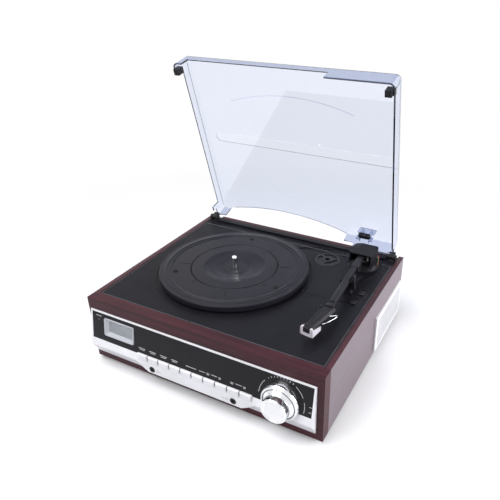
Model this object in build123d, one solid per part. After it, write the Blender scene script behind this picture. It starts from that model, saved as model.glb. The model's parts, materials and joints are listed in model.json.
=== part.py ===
from build123d import *
import math
import os

# Everything is laid out in the cabinet's own frame: x from its left side, y from its front face,
# z from its underside, in millimetres. place() moves each piece into the object's frame at the end.

# Platter place: its margins to the cabinet's faces, and the tonearm's margins, set the plan
platter_r = 101.6
platter_left = 31.2
platter_front = 39.8
platter_back = 40.5
arm_gap = 52.1
arm_margin = 43.5

# Cabinet
cab_w = platter_left + 2 * platter_r + arm_gap + arm_margin
cab_d = platter_front + 2 * platter_r + platter_back
cab_h = 92.6
front_board_t = 15.0
side_board_t = 7.0
rear_board_t = 9.5
base_t = 6.0
foot_h = 5.0
foot_r = 9.0
foot_inset = 24.0
deck_drop = 1.0
deck_t = 6.0
deck_gap = 0.3

# Front moulding and panel
bezel_left = 4.0
bezel_right = cab_w - 8.5
bezel_top = cab_h - 15.4
bezel_bottom = 10.3
bezel_flange = 1.5
bezel_belly_y = 10.6
bezel_belly_z = 27.0
panel_slope = 10.3
panel_left = 6.6
panel_right = bezel_right - 2.5
panel_low = bezel_bottom + 27.5
panel_high = bezel_top - 1.9
panel_t = 1.5
apron_low = bezel_bottom + 3.7
apron_shoulder = 6.5
apron_slant = 11.4
cavity_margin = 20.0
cavity_left = cavity_margin
cavity_right = cab_w - cavity_margin
cavity_low = bezel_bottom + 17.2
cavity_high = bezel_top - 5.2

# Keys
key_count = 10
key_first = 80.3
key_pitch = 16.6
key_gap = 0.7
key_low = panel_low - 6.5
key_high = key_low + 8.1
key_face_y = 10.9
key_travel = 0.8
key_rest_gap = 0.1
key_slot_gap = 0.25
key_chamfer = 0.8
key_stem_w = 5.0
key_stem_h = 4.0
apron_left = key_first + 4.2
apron_right = key_first + key_count * key_pitch - 3.3

# Display
display_left = panel_left + 19.6
display_right = display_left + 48.6
display_high = panel_high - 4.7
display_low = display_high - 24.4
display_proud = 0.9
display_rim = 1.3
display_corner_r = 3.0
display_depth = 3.2
glass_left = display_left + 6.5
glass_right = display_right - 4.6
glass_low = display_low + 5.3
glass_high = display_high - 4.3
glass_t = 1.0
display_unit_t = 3.0

# Power lamp
lamp_x = panel_left + 10.9
lamp_z = panel_high - 9.3
lamp_r = 1.45
lamp_gap = 0.05

# Knob
knob_x = cab_w - 48.0
knob_z = panel_low + 8.9
ring_outer_r = 23.2
ring_inner_r = 19.7
ring_face_y = bezel_belly_y + 3.4
function_r = 19.2
function_top_r = 14.5
function_h = 3.8
function_mark = 35.0
volume_r = 15.9
volume_face_y = ring_face_y + 12.7
volume_shaft_r = 3.0
function_tube_r = 4.6
turn_gap = 0.06
move_gap = 0.3

# Jacks
jack_left_x = apron_left + 18.1
jack_right_x = apron_right - 22.1
jack_z = apron_low + 7.4
jack_bore_r = 1.78
jack_depth = 14.0
jack_body_r = 4.2

# Side grilles and speakers
grille_y1 = cab_d - 9.5
grille_y0 = grille_y1 - 108.0
grille_z0 = 7.0
grille_z1 = grille_z0 + 53.0
grille_border = 4.0
grille_t = 3.5
grille_slots = 24
grille_slot_w = 2.2
speaker_y = (grille_y0 + grille_y1) / 2 - 4.0
speaker_z = (grille_z0 + grille_z1) / 2 + 0.5
speaker_r = 26.0
speaker_cone_r = 21.5
speaker_depth = 24.0

# Platter and drive
deck_top = cab_h - deck_drop
deck_under = deck_top - deck_t
platter_x = platter_left + platter_r
platter_y = platter_front + platter_r
platter_top = deck_top + 10.0
platter_wall = 7.0
platter_skin = 1.6
platter_dish_r = 42.0
platter_dip = 4.7
platter_boss_r = 15.0
platter_rim_step = platter_r - 13.6
platter_groove_r = 59.2
platter_track_r = 60.0
mark_count = 8
mark_start = 61.5
mark_w = 0.9
mark_bearing = 22.0
spindle_r = 3.55
journal_r = 3.0
spindle_top = platter_top + 14.4
bush_r = journal_r + 3.0
bearing_r = journal_r + 4.0
bearing_depth = 20.0
bearing_floor = 4.0
belt_t = 1.0
belt_w = 3.0
belt_gap = 0.15
pulley_r = 6.0
pulley_distance = 76.0
pulley_bearing = 143.0
motor_r = 17.0
motor_h = 22.0
nub_r = 3.6
nub_ring_r = platter_rim_step - 8.0
nub_angles = [103.0, 218.0, 343.0]

# Deck features
well_depth = 1.2
adapter_x = platter_x + 100.3
adapter_y = platter_y + 90.1
adapter_r = 19.1
adapter_h = 3.0
adapter_recess_gap = 0.5
adapter_hole_r = spindle_r + 0.1
switch_w = 9.0
switch_slot_w = 3.0
switch_travel = 6.0
switch_margins = [23.4, 21.6]
switch_offsets = [-89.5, -66.0]

# Tonearm
pivot_x = cab_w - arm_margin
pivot_y = cab_d - 48.5
arm_turn = 3.1
arm_base_r = 20.0
arm_base_top_r = 15.0
arm_base_top = deck_top + 9.4
swing_shaft_r = 4.0
cover_left = 18.0
cover_right = 17.0
cover_front = 21.0
cover_back = 11.0
cover_top = arm_base_top + 20.4
cover_wall = 1.8
cover_facet_w = 11.0
cover_facet_h = 2.6
yoke_r = 8.0
yoke_ear_t = 2.4
arm_w = 7.0
arm_h = 6.0
arm_root_w = 9.0
arm_pivot_z = arm_base_top + 13.6
arm_pivot_r = 1.5
arm_length = 143.0
arm_drop = 3.4
head_length = 46.0
head_w = 18.0
head_h = 7.0
head_offset = 11.0
rest_y = pivot_y - 73.4
rest_w = 19.0
arm_swing_clear = 0.4
cue_x = pivot_x + 11.9
cue_y = rest_y + 7.9
cue_axis_z = arm_pivot_z - 8.1
cue_length = 21.0
cue_lean = 12.0
rail_h = 3.0
rail_d = 8.5

# Lid
hinge_y = cab_d - 14.4
hinge_z = cab_h + 4.6
hinge_sink = 3.0
lid_open = 74.4
lid_margin = 12.6
lid_left = lid_margin
lid_right = cab_w - lid_margin
lid_front = hinge_y - 7.3
lid_rim = 1.0
lid_h = 27.3
lid_t = 2.0
lid_draft = 2.6
lid_short = 11.7
lid_corner_r = 8.0
hinge_pin_r = 2.0
hinge_barrel_r = 4.4
hinge_w = 14.0
lid_flange_left = lid_right - 57.4
lid_flange_right = lid_flange_left + 25.0
flange_low = 13.0
hinge_inner = side_board_t + 0.3
channel_a = 139.5
channel_w = 15.0
channel_depth = 0.7
channel_left = 36.0

# Rear terminals
rear_x1 = cab_w - 30.0
rear_x0 = rear_x1 - 104.0
rear_z0 = 18.0
rear_z1 = rear_z0 + 40.0
rear_plate_t = 2.0
socket_z = (rear_z0 + rear_z1) / 2
rca_spots = [(rear_x0 + 26.0, socket_z), (rear_x0 + 44.0, socket_z)]
inlet_spot = (rear_x1 - 22.0, socket_z)
inlet_bore_r = 2.75

# Circuit boards
board_y = front_board_t + 1.5
board_t = 1.6
tact_h = 3.5
pot_y = board_y + board_t + 1.0
main_board_lift = 6.0

# Screws
screw_head_r = 3.2
screw_head_h = 2.0
screw_shank_r = 1.5

inner_left = side_board_t
inner_right = cab_w - side_board_t
inner_back = cab_d - rear_board_t
slope_sin = math.sin(math.radians(panel_slope))
slope_cos = math.cos(math.radians(panel_slope))
slope_tan = slope_sin / slope_cos
lid_back_reach = (lid_rim + lid_h) * math.sin(math.radians(lid_open))
y_mid = (hinge_y + lid_back_reach - volume_face_y) / 2
to_object = Location((-cab_w / 2, -y_mid, foot_h))


def box(x0, x1, y0, y1, z0, z1):
    middle = ((x0 + x1) / 2, (y0 + y1) / 2, (z0 + z1) / 2)
    return Pos(*middle) * Box(abs(x1 - x0), abs(y1 - y0), abs(z1 - z0))


def round_z(r, x, y, z0, z1):
    return Pos(x, y, (z0 + z1) / 2) * Cylinder(r, abs(z1 - z0))


def round_y(r, x, z, y0, y1):
    return Pos(x, (y0 + y1) / 2, z) * Rot(90, 0, 0) * Cylinder(r, abs(y1 - y0))


def round_x(r, y, z, x0, x1):
    return Pos((x0 + x1) / 2, y, z) * Rot(0, 90, 0) * Cylinder(r, abs(x1 - x0))


def turned(points):
    """A solid of revolution about Z from (radius, height) points."""
    outline = Polyline(*[(r, 0, z) for r, z in points], close=True)
    return revolve(make_face(outline), Axis.Z)


def along_x(points, x0, x1):
    """A prism along x with the section given by (y, z) points."""
    outline = Polyline(*[(x0, y, z) for y, z in points], close=True)
    return extrude(make_face(outline), x1 - x0, dir=(1, 0, 0))


def upright(points, z0, z1):
    """A prism along z with the plan given by (x, y) points."""
    outline = Polyline(*[(x, y, z0) for x, y in points], close=True)
    return extrude(make_face(outline), z1 - z0, dir=(0, 0, 1))


def along_y(points, y0, y1):
    """A prism along y with the outline given by (x, z) points."""
    outline = Polyline(*[(x, y0, z) for x, z in points], close=True)
    return extrude(make_face(outline), y1 - y0, dir=(0, 1, 0))


def face_y(z):
    """The y of the sloped front face at a height."""
    return -bezel_flange - (bezel_top - bezel_flange - z) * slope_tan


def slope_prism(x0, x1, z0, z1, out, deep):
    """A block on the sloped front face, from out in front of it to deep behind it."""
    corners = []
    for z, n in ((z0, out), (z1, out), (z1, -deep), (z0, -deep)):
        corners.append((face_y(z) - n * slope_cos, z + n * slope_sin))
    return along_x(corners, x0, x1)


def behind_slope(out):
    """Everything behind a plane parallel to the sloped front face."""
    return slope_prism(-50, cab_w + 50, -60, cab_h + 120, out, 200)


# Cabinet


def front_board():
    board = box(0, cab_w, 0, front_board_t, 0, cab_h)
    board -= box(cavity_left, cavity_right, -1, front_board_t + 1, cavity_low, cavity_high)
    for x in (jack_left_x, jack_right_x):
        board -= round_y(jack_body_r + move_gap, x, jack_z, -1, front_board_t + 1)
    for x, z in board_screw_spots():
        board -= round_y(screw_shank_r, x, z, front_board_t - 4, front_board_t + 1)
    return board


def side_board(side):
    x0 = 0 if side < 0 else inner_right
    x1 = inner_left if side < 0 else cab_w
    board = box(x0, x1, front_board_t, cab_d, 0, cab_h)
    board -= round_x(speaker_cone_r + 1.5, speaker_y, speaker_z, x0 - 1, x1 + 1)
    corner = board.edges().filter_by(Axis.X).sort_by(lambda e: e.center().Y - e.center().Z)[-1]
    return fillet(corner, 3.0)


def rear_board():
    board = box(inner_left, inner_right, inner_back, cab_d, 0, cab_h)
    board -= box(rear_x0 + 10, rear_x1 - 10, inner_back - 1, cab_d + 1, rear_z0 + 4, rear_z1 - 4)
    for x, z in rear_screw_spots():
        board -= round_y(screw_shank_r, x, z, cab_d - 5, cab_d + 1)
    for x0, x1 in hinge_spans():
        board -= box(x0 - 0.3, x1 + 0.3, inner_back - 1, cab_d + 1, cab_h - hinge_sink, cab_h + 1)
    return board


def base_board():
    board = box(inner_left, inner_right, front_board_t, inner_back, 0, base_t)
    for x, y in base_screw_spots():
        board -= round_z(screw_head_r + 0.3, x, y, -1, screw_head_h)
        board -= round_z(screw_shank_r, x, y, 0, base_t + 1)
    return board


def foot_spots():
    left = foot_inset
    right = cab_w - foot_inset
    return [(left, foot_inset), (right, foot_inset),
            (left, cab_d - foot_inset), (right, cab_d - foot_inset)]


def base_screw_spots():
    spots = []
    for x in (46.0, cab_w / 2, cab_w - 46.0):
        for y in (front_board_t + 23.0, inner_back - 9.0):
            spots.append((x, y))
    return spots


def rubber_feet():
    feet = []
    for x, y in foot_spots():
        foot = round_z(foot_r, x, y, -foot_h, 0)
        rim = foot.edges().filter_by(GeomType.CIRCLE).sort_by(Axis.Z)[0]
        feet.append(chamfer(rim, 1.0))
    return feet


def battens():
    """Corner battens that the base board and the deck are screwed to."""
    pieces = []
    for x, y in base_screw_spots():
        block = box(x - 7, x + 7, y - 7, y + 7, base_t, deck_under)
        block -= round_z(screw_shank_r, x, y, base_t - 1, base_t + 10)
        pieces.append(block)
    return pieces


def top_deck():
    deck = box(inner_left + deck_gap, inner_right - deck_gap,
               front_board_t + deck_gap, inner_back - deck_gap, deck_under, deck_top)
    # the lowered well to the right of the platter
    well = upright([(platter_x + 46.0, platter_y + 100.3), (platter_x + 76.9, pivot_y + 25.0),
                    (pivot_x - 24.5, pivot_y + 16.5), (pivot_x - 24.5, pivot_y - 10.0),
                    (pivot_x - 14.1, pivot_y - 44.5), (platter_x + 90.7, platter_y + 51.2)],
                   deck_top - well_depth, deck_top + 1)
    well -= round_z(platter_r + 4, platter_x, platter_y, 0, 200)
    well -= round_z(27.0, pivot_x, pivot_y, 0, 200)
    deck -= well
    # the fold line across the front of the arm's plateau
    fold_x0 = platter_x + platter_r
    fold_x1 = inner_right - 14.0
    fold_y = pivot_y - 99.9
    deck -= upright([(fold_x0, fold_y), (fold_x1, fold_y + 3.6), (fold_x1, fold_y + 4.5),
                     (fold_x0, fold_y + 0.9)], deck_top - 0.6, deck_top + 1)
    # a raised lip round the platter
    lip = round_z(platter_r + 6.0, platter_x, platter_y, deck_top, deck_top + 0.8)
    lip -= round_z(platter_r + 4.6, platter_x, platter_y, deck_top - 1, deck_top + 2)
    lip &= box(inner_left + 1, platter_x + platter_r + 5.6, front_board_t + 1, inner_back - 1,
               0, 2 * cab_h)
    deck += lip
    # the raised rail along the rear edge
    rail_y = inner_back - 1.2
    deck += box(hinge_inner + hinge_w + 0.7, cab_w - hinge_inner - hinge_w - 0.2,
                rail_y - rail_d, rail_y, deck_top - 1, deck_top + rail_h)
    # the ridge round the tonearm base, drawn out towards the rest post
    ridge = teardrop(26.0, 4.0) - teardrop(24.6, 2.6)
    deck += ridge
    # the recess for the 45 rpm adapter
    recess_r = adapter_r + adapter_recess_gap
    deck -= round_z(recess_r, adapter_x, adapter_y, adapter_floor(), deck_top + 1)
    # the slots of the two slide switches
    for x, y in switch_spots():
        deck -= Pos(x, y, deck_top) * Box(switch_slot_w, switch_w + switch_travel + 1.0,
                                          2 * deck_t + 2)
    # the bearing, the pulley, the tonearm base and the hinge brackets
    deck -= round_z(bearing_r, platter_x, platter_y, 0, 200)
    px, py = pulley_spot()
    deck -= round_z(pulley_r + 3.0, px, py, 0, 200)
    deck -= round_z(swing_shaft_r + 5.0, pivot_x, pivot_y, 0, 200)
    for x0, x1 in hinge_spans():
        deck -= box(x0 - 0.3, x1 + 0.3, hinge_y - hinge_barrel_r - 3.3, inner_back + 1,
                    cab_h - hinge_sink, 200)
    for x, y in deck_screw_spots():
        deck -= round_z(screw_shank_r, x, y, deck_under - 1, deck_under + 4)
    return deck


def teardrop(r, neck):
    body = round_z(r, pivot_x, pivot_y, deck_top, deck_top + 1.0)
    tail_y = pivot_y - 36.0 - neck
    tail = upright([(pivot_x - neck - 2, tail_y), (pivot_x + neck + 10, tail_y),
                    (pivot_x + r * 0.97, pivot_y - 5), (pivot_x - r * 0.97, pivot_y - 5)],
                   deck_top, deck_top + 1.0)
    return body + tail


def adapter_floor():
    return deck_top - well_depth - adapter_h + 0.4


def deck_screw_spots():
    return [(46.0, front_board_t + 23.0), (cab_w - 46.0, front_board_t + 23.0)]


def switch_spots():
    return [(cab_w - margin, pivot_y + offset)
            for margin, offset in zip(switch_margins, switch_offsets)]


def pulley_spot():
    angle = math.radians(pulley_bearing)
    return (platter_x + pulley_distance * math.cos(angle),
            platter_y + pulley_distance * math.sin(angle))


# Front moulding


def bezel_section():
    belly_slope = face_y(bezel_belly_z)
    return [(0, bezel_bottom), (-bezel_flange, bezel_bottom), (belly_slope, bezel_belly_z),
            (-bezel_flange, bezel_top - bezel_flange), (-bezel_flange, bezel_top), (0, bezel_top)]


def bezel():
    body = along_x(bezel_section(), bezel_left, bezel_right)
    belly = face_y(bezel_belly_z)
    shoulder_z = apron_low + apron_shoulder
    apron_outline = [(apron_left, shoulder_z), (apron_left + apron_slant, apron_low),
                     (apron_right - apron_slant, apron_low), (apron_right, shoulder_z),
                     (apron_right + 9.0, bezel_belly_z), (apron_left - 9.0, bezel_belly_z)]
    apron = along_y(apron_outline, belly, 0)
    lower_face = [e for e in apron.edges() if abs(e.center().Y - belly) < 0.01
                  and e.center().Z < bezel_belly_z - 1]
    body += chamfer(lower_face, 1.2)
    body -= slope_prism(panel_left - deck_gap / 2, panel_right + deck_gap / 2,
                        panel_low, panel_high, 5, panel_t)
    body -= slope_prism(display_left + 1.0, display_right - 1.0, display_low + 1.0,
                        display_high - 1.0, 5, 40)
    for number in range(key_count):
        body -= key_block(number, key_slot_gap, 20.0, 20.0)
    body -= round_y(function_tube_r + 1.0, knob_x, knob_z, -40, 5)
    for x in (jack_left_x, jack_right_x):
        body -= round_y(jack_body_r, x, jack_z, -40, 5)
    body -= round_y(lamp_r + lamp_gap, lamp_x, lamp_z, -40, 5)
    return body


def front_panel():
    panel = slope_prism(panel_left, panel_right, panel_low + 0.1, panel_high - 0.1, 0, panel_t)
    panel -= slope_prism(display_left, display_right, display_low, display_high, 5, 40)
    for number in range(key_count):
        panel -= key_block(number, key_slot_gap, 20.0, 20.0)
    panel -= round_y(function_tube_r + 1.0, knob_x, knob_z, -40, 5)
    panel -= round_y(lamp_r + lamp_gap, lamp_x, lamp_z, -40, 5)
    return panel


def slope_rectangle(x0, x1, z0, z1, out):
    """A rectangle parallel to the sloped front face, out in front of it."""
    corners = []
    for x, z in ((x0, z0), (x1, z0), (x1, z1), (x0, z1)):
        corners.append((x, face_y(z) - out * slope_cos, z + out * slope_sin))
    return make_face(Polyline(*corners, close=True))


def display_frame():
    """A picture frame whose four inner walls slope down to the recessed window."""
    frame = slope_prism(display_left + 0.1, display_right - 0.1, display_low + 0.1,
                        display_high - 0.1, display_proud, panel_t)
    corners = [e for e in frame.edges() if abs(e.length - display_proud - panel_t) < 0.01]
    frame = fillet(corners, display_corner_r)
    front = [e for e in frame.edges() if e.center().Y < face_y(e.center().Z) - 0.8 * display_proud]
    frame = chamfer(front, 0.4)
    frame += slope_prism(display_left + 1.2, display_right - 1.2, display_low + 1.2,
                         display_high - 1.2, -panel_t + 0.5, display_depth)
    mouth = slope_rectangle(display_left + display_rim, display_right - display_rim,
                            display_low + display_rim, display_high - display_rim,
                            display_proud + 0.01)
    throat = slope_rectangle(glass_left, glass_right, glass_low, glass_high,
                             glass_t - display_depth)
    frame -= loft([mouth, throat])
    return frame - slope_prism(glass_left, glass_right, glass_low, glass_high, 0, 40)


def display_window():
    front = glass_t - display_depth
    return slope_prism(glass_left + 0.1, glass_right - 0.1, glass_low + 0.1, glass_high - 0.1,
                       front, display_depth)


def display_unit():
    return slope_prism(display_left + 1.2, display_right - 1.2, display_low + 1.2,
                       display_high - 1.2, -display_depth, display_depth + display_unit_t)


def power_lamp():
    lamp = round_y(lamp_r, lamp_x, lamp_z, face_y(lamp_z) - 0.5, 0)
    front = lamp.edges().filter_by(GeomType.CIRCLE).sort_by(Axis.Y)[0]
    return fillet(front, 0.5)


def key_block(number, grow, forward, back):
    x0 = key_first + number * key_pitch + key_gap / 2
    x1 = x0 + key_pitch - key_gap
    return box(x0 - grow, x1 + grow, -forward, back, key_low - grow, key_high + grow)


def key(number):
    x0 = key_first + number * key_pitch + key_gap / 2
    x1 = x0 + key_pitch - key_gap
    grow = -key_slot_gap / 2
    cap = box(x0 - grow, x1 + grow, -key_face_y, face_y(key_low) + 4.0, key_low, key_high)
    front = [e for e in cap.edges() if abs(e.center().Y + key_face_y) < 0.01]
    cap = chamfer(front, key_chamfer)
    middle = (x0 + x1) / 2
    stem_z = (key_low + key_high) / 2
    reach = board_y - tact_h - key_rest_gap - key_travel
    return cap + box(middle - key_stem_w / 2, middle + key_stem_w / 2, face_y(key_low) + 3.5,
                     reach, stem_z - key_stem_h / 2, stem_z + key_stem_h / 2)


def knob_ring():
    points = [(ring_inner_r, 0.0), (ring_outer_r, 0.0), (ring_outer_r, ring_face_y - 3.2),
              (ring_outer_r - 0.9, ring_face_y - 1.0), (ring_outer_r - 2.0, ring_face_y),
              (ring_inner_r, ring_face_y)]
    ring = knob_axis(turned(points))
    return ring - behind_slope(0)


def knob_axis(part):
    """Turns a part built up from z = 0 so that it comes forwards out of the panel at the knob."""
    return Pos(knob_x, 0, knob_z) * Rot(90, 0, 0) * part


def volume_knob():
    base = ring_face_y + function_h + move_gap
    points = [(volume_shaft_r, base), (volume_r, base), (volume_r, volume_face_y - 1.6),
              (volume_r - 0.5, volume_face_y - 0.6), (volume_r - 1.6, volume_face_y),
              (volume_r - 3.2, volume_face_y), (volume_r - 4.2, volume_face_y - 0.7),
              (0, volume_face_y - 1.2), (0, volume_face_y - 4.0),
              (volume_shaft_r, volume_face_y - 4.0)]
    return knob_axis(turned(points))


def volume_shaft():
    return round_y(volume_shaft_r, knob_x, knob_z, -(volume_face_y - 4.0), pot_y)


def function_ring():
    tube_face = ring_face_y - 3.0
    points = [(volume_shaft_r + turn_gap, tube_face), (function_r, tube_face),
              (function_r, ring_face_y), (function_top_r, ring_face_y + function_h),
              (volume_shaft_r + turn_gap, ring_face_y + function_h)]
    skirt = knob_axis(turned(points))
    tube = round_y(function_tube_r, knob_x, knob_z, -tube_face, board_y - 1.0)
    tube -= round_y(volume_shaft_r + turn_gap, knob_x, knob_z, -40, 40)
    # the pointer mark is a short notch in the sloping skirt
    mark = Pos(knob_x, -ring_face_y - 2.6, knob_z) * Rot(0, -function_mark, 0)
    mark *= Pos(0, 0, function_r - 2.4) * Box(1.2, 3.0, 3.6)
    return skirt + tube - mark


def control_board():
    board = box(cavity_left + 4, cavity_right - 2, board_y, board_y + board_t,
                jack_z - 7.4, cavity_high + 4)
    board -= round_y(function_tube_r + 2.0, knob_x, knob_z, 0, 40)
    for x, z in board_screw_spots():
        board -= round_y(screw_shank_r, x, z, 0, 40)
    return board


def board_screw_spots():
    return [(cavity_left + 40.0, jack_z + 1.6), (cavity_right - 48.0, jack_z + 1.6)]


def board_posts():
    posts = []
    for x, z in board_screw_spots():
        post = round_y(4.0, x, z, front_board_t, board_y)
        post -= round_y(screw_shank_r, x, z, 0, 40)
        posts.append(post)
    return posts


def tact_switches():
    switches = []
    for number in range(key_count):
        x = key_first + (number + 0.5) * key_pitch
        z = (key_low + key_high) / 2
        body = box(x - 3, x + 3, board_y - tact_h + 0.6, board_y, z - 3, z + 3)
        body += round_y(1.7, x, z, board_y - tact_h, board_y - tact_h + 1.0)
        switches.append(body)
    return switches


def function_switch():
    body = round_y(13.0, knob_x, knob_z, board_y - 8.0, board_y)
    return body - round_y(function_tube_r + turn_gap, knob_x, knob_z, 0, 40)


def volume_control():
    body = round_y(11.0, knob_x, knob_z, board_y + board_t, board_y + board_t + 9.0)
    return body - round_y(volume_shaft_r + turn_gap, knob_x, knob_z, 0, pot_y + turn_gap)


def front_jacks():
    jacks = []
    for x in (jack_left_x, jack_right_x):
        face = face_y(bezel_belly_z) - 0.6
        body = round_y(jack_body_r, x, jack_z, face, front_board_t)
        lip = body.edges().filter_by(GeomType.CIRCLE).sort_by(Axis.Y)[0]
        body = chamfer(lip, 0.4)
        body -= round_y(jack_bore_r, x, jack_z, face - 1, face + jack_depth)
        jacks.append(body)
    return jacks


# Sides and rear


def side_grille(side):
    x0 = -grille_t if side < 0 else cab_w
    x1 = 0 if side < 0 else cab_w + grille_t
    grille = box(x0, x1, grille_y0, grille_y1, grille_z0, grille_z1)
    outer_x = x0 if side < 0 else x1
    rim = [e for e in grille.edges() if abs(e.center().X - outer_x) < 0.01]
    grille = chamfer(rim, 1.2)
    pitch = (grille_y1 - grille_y0 - 2 * grille_border) / grille_slots
    for number in range(grille_slots):
        y = grille_y0 + grille_border + pitch * (number + 0.5)
        grille -= box(x0 - 1, x1 + 1, y - grille_slot_w / 2, y + grille_slot_w / 2,
                      grille_z0 + grille_border, grille_z1 - grille_border)
    return grille


def to_side(part, side):
    """Stands a turned part against the inside of a side board, its axis pointing outwards."""
    x = inner_left if side < 0 else inner_right
    turn = Rot(0, -90, 0) if side < 0 else Rot(0, 90, 0)
    return Pos(x, speaker_y, speaker_z) * turn * part


def speaker_frames():
    points = [(speaker_cone_r, 0.0), (speaker_r, 0.0), (speaker_r, -1.2),
              (speaker_r - 2, -1.2), (14.0, -speaker_depth + 10), (9.0, -speaker_depth + 10),
              (9.0, -speaker_depth + 11.2), (13.4, -speaker_depth + 11.2),
              (speaker_cone_r, -1.2)]
    return [to_side(turned(points), side) for side in (-1, 1)]


def speaker_cones():
    cones = []
    for side in (-1, 1):
        points = [(0, -7.0), (4.0, -8.2), (6.5, -9.5), (19.0, -2.5), (20.2, -1.5),
                  (speaker_cone_r - 0.05, -1.2), (speaker_cone_r - 0.05, -0.2), (20.0, -0.6),
                  (18.6, -1.4), (6.3, -8.3), (4.0, -6.6), (0, -5.4)]
        cones.append(to_side(turned(points), side))
    return cones


def speaker_magnets():
    magnets = []
    for side in (-1, 1):
        points = [(0, -speaker_depth + 10), (13.0, -speaker_depth + 10),
                  (13.0, -speaker_depth + 1), (11.0, -speaker_depth), (0, -speaker_depth)]
        magnets.append(to_side(turned(points), side))
    return magnets


def rear_plate():
    plate = box(rear_x0, rear_x1, cab_d, cab_d + rear_plate_t, rear_z0, rear_z1)
    rim = [e for e in plate.edges().filter_by(Axis.Y)]
    plate = fillet(rim, 3.0)
    for x, z in rca_spots:
        plate -= round_y(4.6, x, z, cab_d - 1, cab_d + 9)
    plate -= round_y(5.2, inlet_spot[0], inlet_spot[1], cab_d - 1, cab_d + 9)
    for x, z in rear_screw_spots():
        plate -= round_y(screw_shank_r, x, z, cab_d - 1, cab_d + 9)
    return plate


def rear_screw_spots():
    return [(rear_x0 + 5.5, rear_z0 + 5.5), (rear_x1 - 5.5, rear_z0 + 5.5),
            (rear_x0 + 5.5, rear_z1 - 5.5), (rear_x1 - 5.5, rear_z1 - 5.5)]


def rca_sockets():
    sockets = []
    for x, z in rca_spots:
        body = round_y(4.6, x, z, cab_d - 6, cab_d + rear_plate_t + 6.5)
        body -= round_y(1.6, x, z, cab_d - 4, cab_d + 20)
        body += round_y(6.0, x, z, cab_d + rear_plate_t, cab_d + rear_plate_t + 1.4)
        body -= round_y(1.6, x, z, cab_d - 4, cab_d + 20)
        sockets.append(body)
    return sockets


def power_inlet():
    x, z = inlet_spot
    body = round_y(5.2, x, z, cab_d - 8, cab_d + rear_plate_t + 0.8)
    body -= round_y(inlet_bore_r, x, z, cab_d - 6, cab_d + 20)
    body += round_y(0.95, x, z, cab_d - 7, cab_d + rear_plate_t - 1.0)
    return body


def rear_board_pcb():
    low = base_t + main_board_lift
    board = box(rear_x0 + 8, rear_x1 - 8, inner_back - 84, inner_back - 26, low, low + board_t)
    for x, y in main_posts_spots():
        board -= round_z(screw_shank_r, x, y, 0, 40)
    return board


def main_posts_spots():
    y0 = inner_back - 78
    y1 = inner_back - 32
    return [(rear_x0 + 14, y0), (rear_x1 - 14, y0), (rear_x0 + 14, y1), (rear_x1 - 14, y1)]


def main_board_parts():
    posts = []
    for x, y in main_posts_spots():
        post = round_z(4.0, x, y, base_t, base_t + main_board_lift)
        post -= round_z(screw_shank_r, x, y, 0, 40)
        posts.append(post)
    top = base_t + main_board_lift + board_t
    chip = box(rear_x0 + 40, rear_x0 + 66, inner_back - 64, inner_back - 44, top, top + 2.4)
    cans = [round_z(5.0, rear_x0 + 22, inner_back - 54, top, top + 14.4),
            round_z(4.0, rear_x0 + 80, inner_back - 60, top, top + 11.4)]
    return posts + [chip] + cans


def screws():
    """Every screw is the same: a pan head with a cross slot."""
    pieces = []
    base_turn = Rot(180, 0, 0)
    for x, y in base_screw_spots():
        pieces.append(Pos(x, y, screw_head_h) * base_turn * one_screw())
    for x, z in board_screw_spots():
        pieces.append(Pos(x, board_y + board_t, z) * Rot(-90, 0, 0) * one_screw())
    for x, z in rear_screw_spots():
        pieces.append(Pos(x, cab_d + rear_plate_t, z) * Rot(-90, 0, 0) * one_screw())
    for x, y in main_posts_spots():
        pieces.append(Pos(x, y, base_t + main_board_lift + board_t) * one_screw())
    return pieces


def one_screw():
    head = round_z(screw_head_r, 0, 0, 0, screw_head_h)
    top = head.edges().filter_by(GeomType.CIRCLE).sort_by(Axis.Z)[-1]
    head = chamfer(top, 0.5)
    head -= Pos(0, 0, screw_head_h) * Box(3.4, 0.8, 1.8)
    head -= Pos(0, 0, screw_head_h) * Box(0.8, 3.4, 1.8)
    return head + round_z(screw_shank_r - 0.02, 0, 0, -6.0, 0)


# Platter and drive


def platter_line():
    """Top surface of the platter as (radius, height), from the hub to the rim."""
    top = platter_top
    centre = top - platter_dip
    flat = top - 1.0
    return [(bush_r, centre), (platter_boss_r, centre), (platter_boss_r + 0.8, centre - 0.6),
            (platter_boss_r + 9, centre + 0.3), (platter_dish_r - 9, centre + 1.9),
            (platter_dish_r - 1.5, flat - 0.5), (platter_dish_r, flat),
            (platter_groove_r - 0.5, flat), (platter_groove_r, flat - 0.5),
            (platter_groove_r + 0.5, flat), (platter_rim_step - 2.5, flat),
            (platter_rim_step - 1.6, flat + 0.5), (platter_rim_step, flat + 0.5),
            (platter_rim_step + 1.0, flat), (platter_rim_step + 3.0, flat),
            (platter_rim_step + 4.2, top), (platter_r - 0.8, top), (platter_r, top - 0.8)]


def platter():
    top = platter_top
    skin = platter_skin
    flat = top - 1.0
    under = [(platter_r, top - platter_wall), (platter_r - 2.0, top - platter_wall),
             (platter_r - 2.0, top - skin - 0.6), (platter_rim_step + 3.5, flat - skin),
             (platter_track_r, flat - skin), (platter_track_r, track_low()),
             (platter_track_r - 2.2, track_low()), (platter_track_r - 2.2, flat - skin),
             (platter_dish_r - 0.5, flat - skin), (platter_dish_r - 9, top - platter_dip + 0.2),
             (platter_boss_r + 9, top - platter_dip - 1.5), (platter_boss_r, hub_low()),
             (bush_r, hub_low())]
    body = turned(platter_line() + under)
    for step in range(mark_count):
        length = 16.0 if step % 2 == 0 else 6.0
        turn = mark_bearing + 360 / mark_count * step
        mark = Rot(0, 0, turn) * Pos(mark_start + length / 2, 0, flat)
        body -= mark * Box(length, mark_w, 0.7)
    for angle in nub_angles:
        body -= nub_place(angle) * round_z(nub_r, 0, 0, flat - 0.8, flat + 5)
    return Pos(platter_x, platter_y, 0) * body


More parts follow.
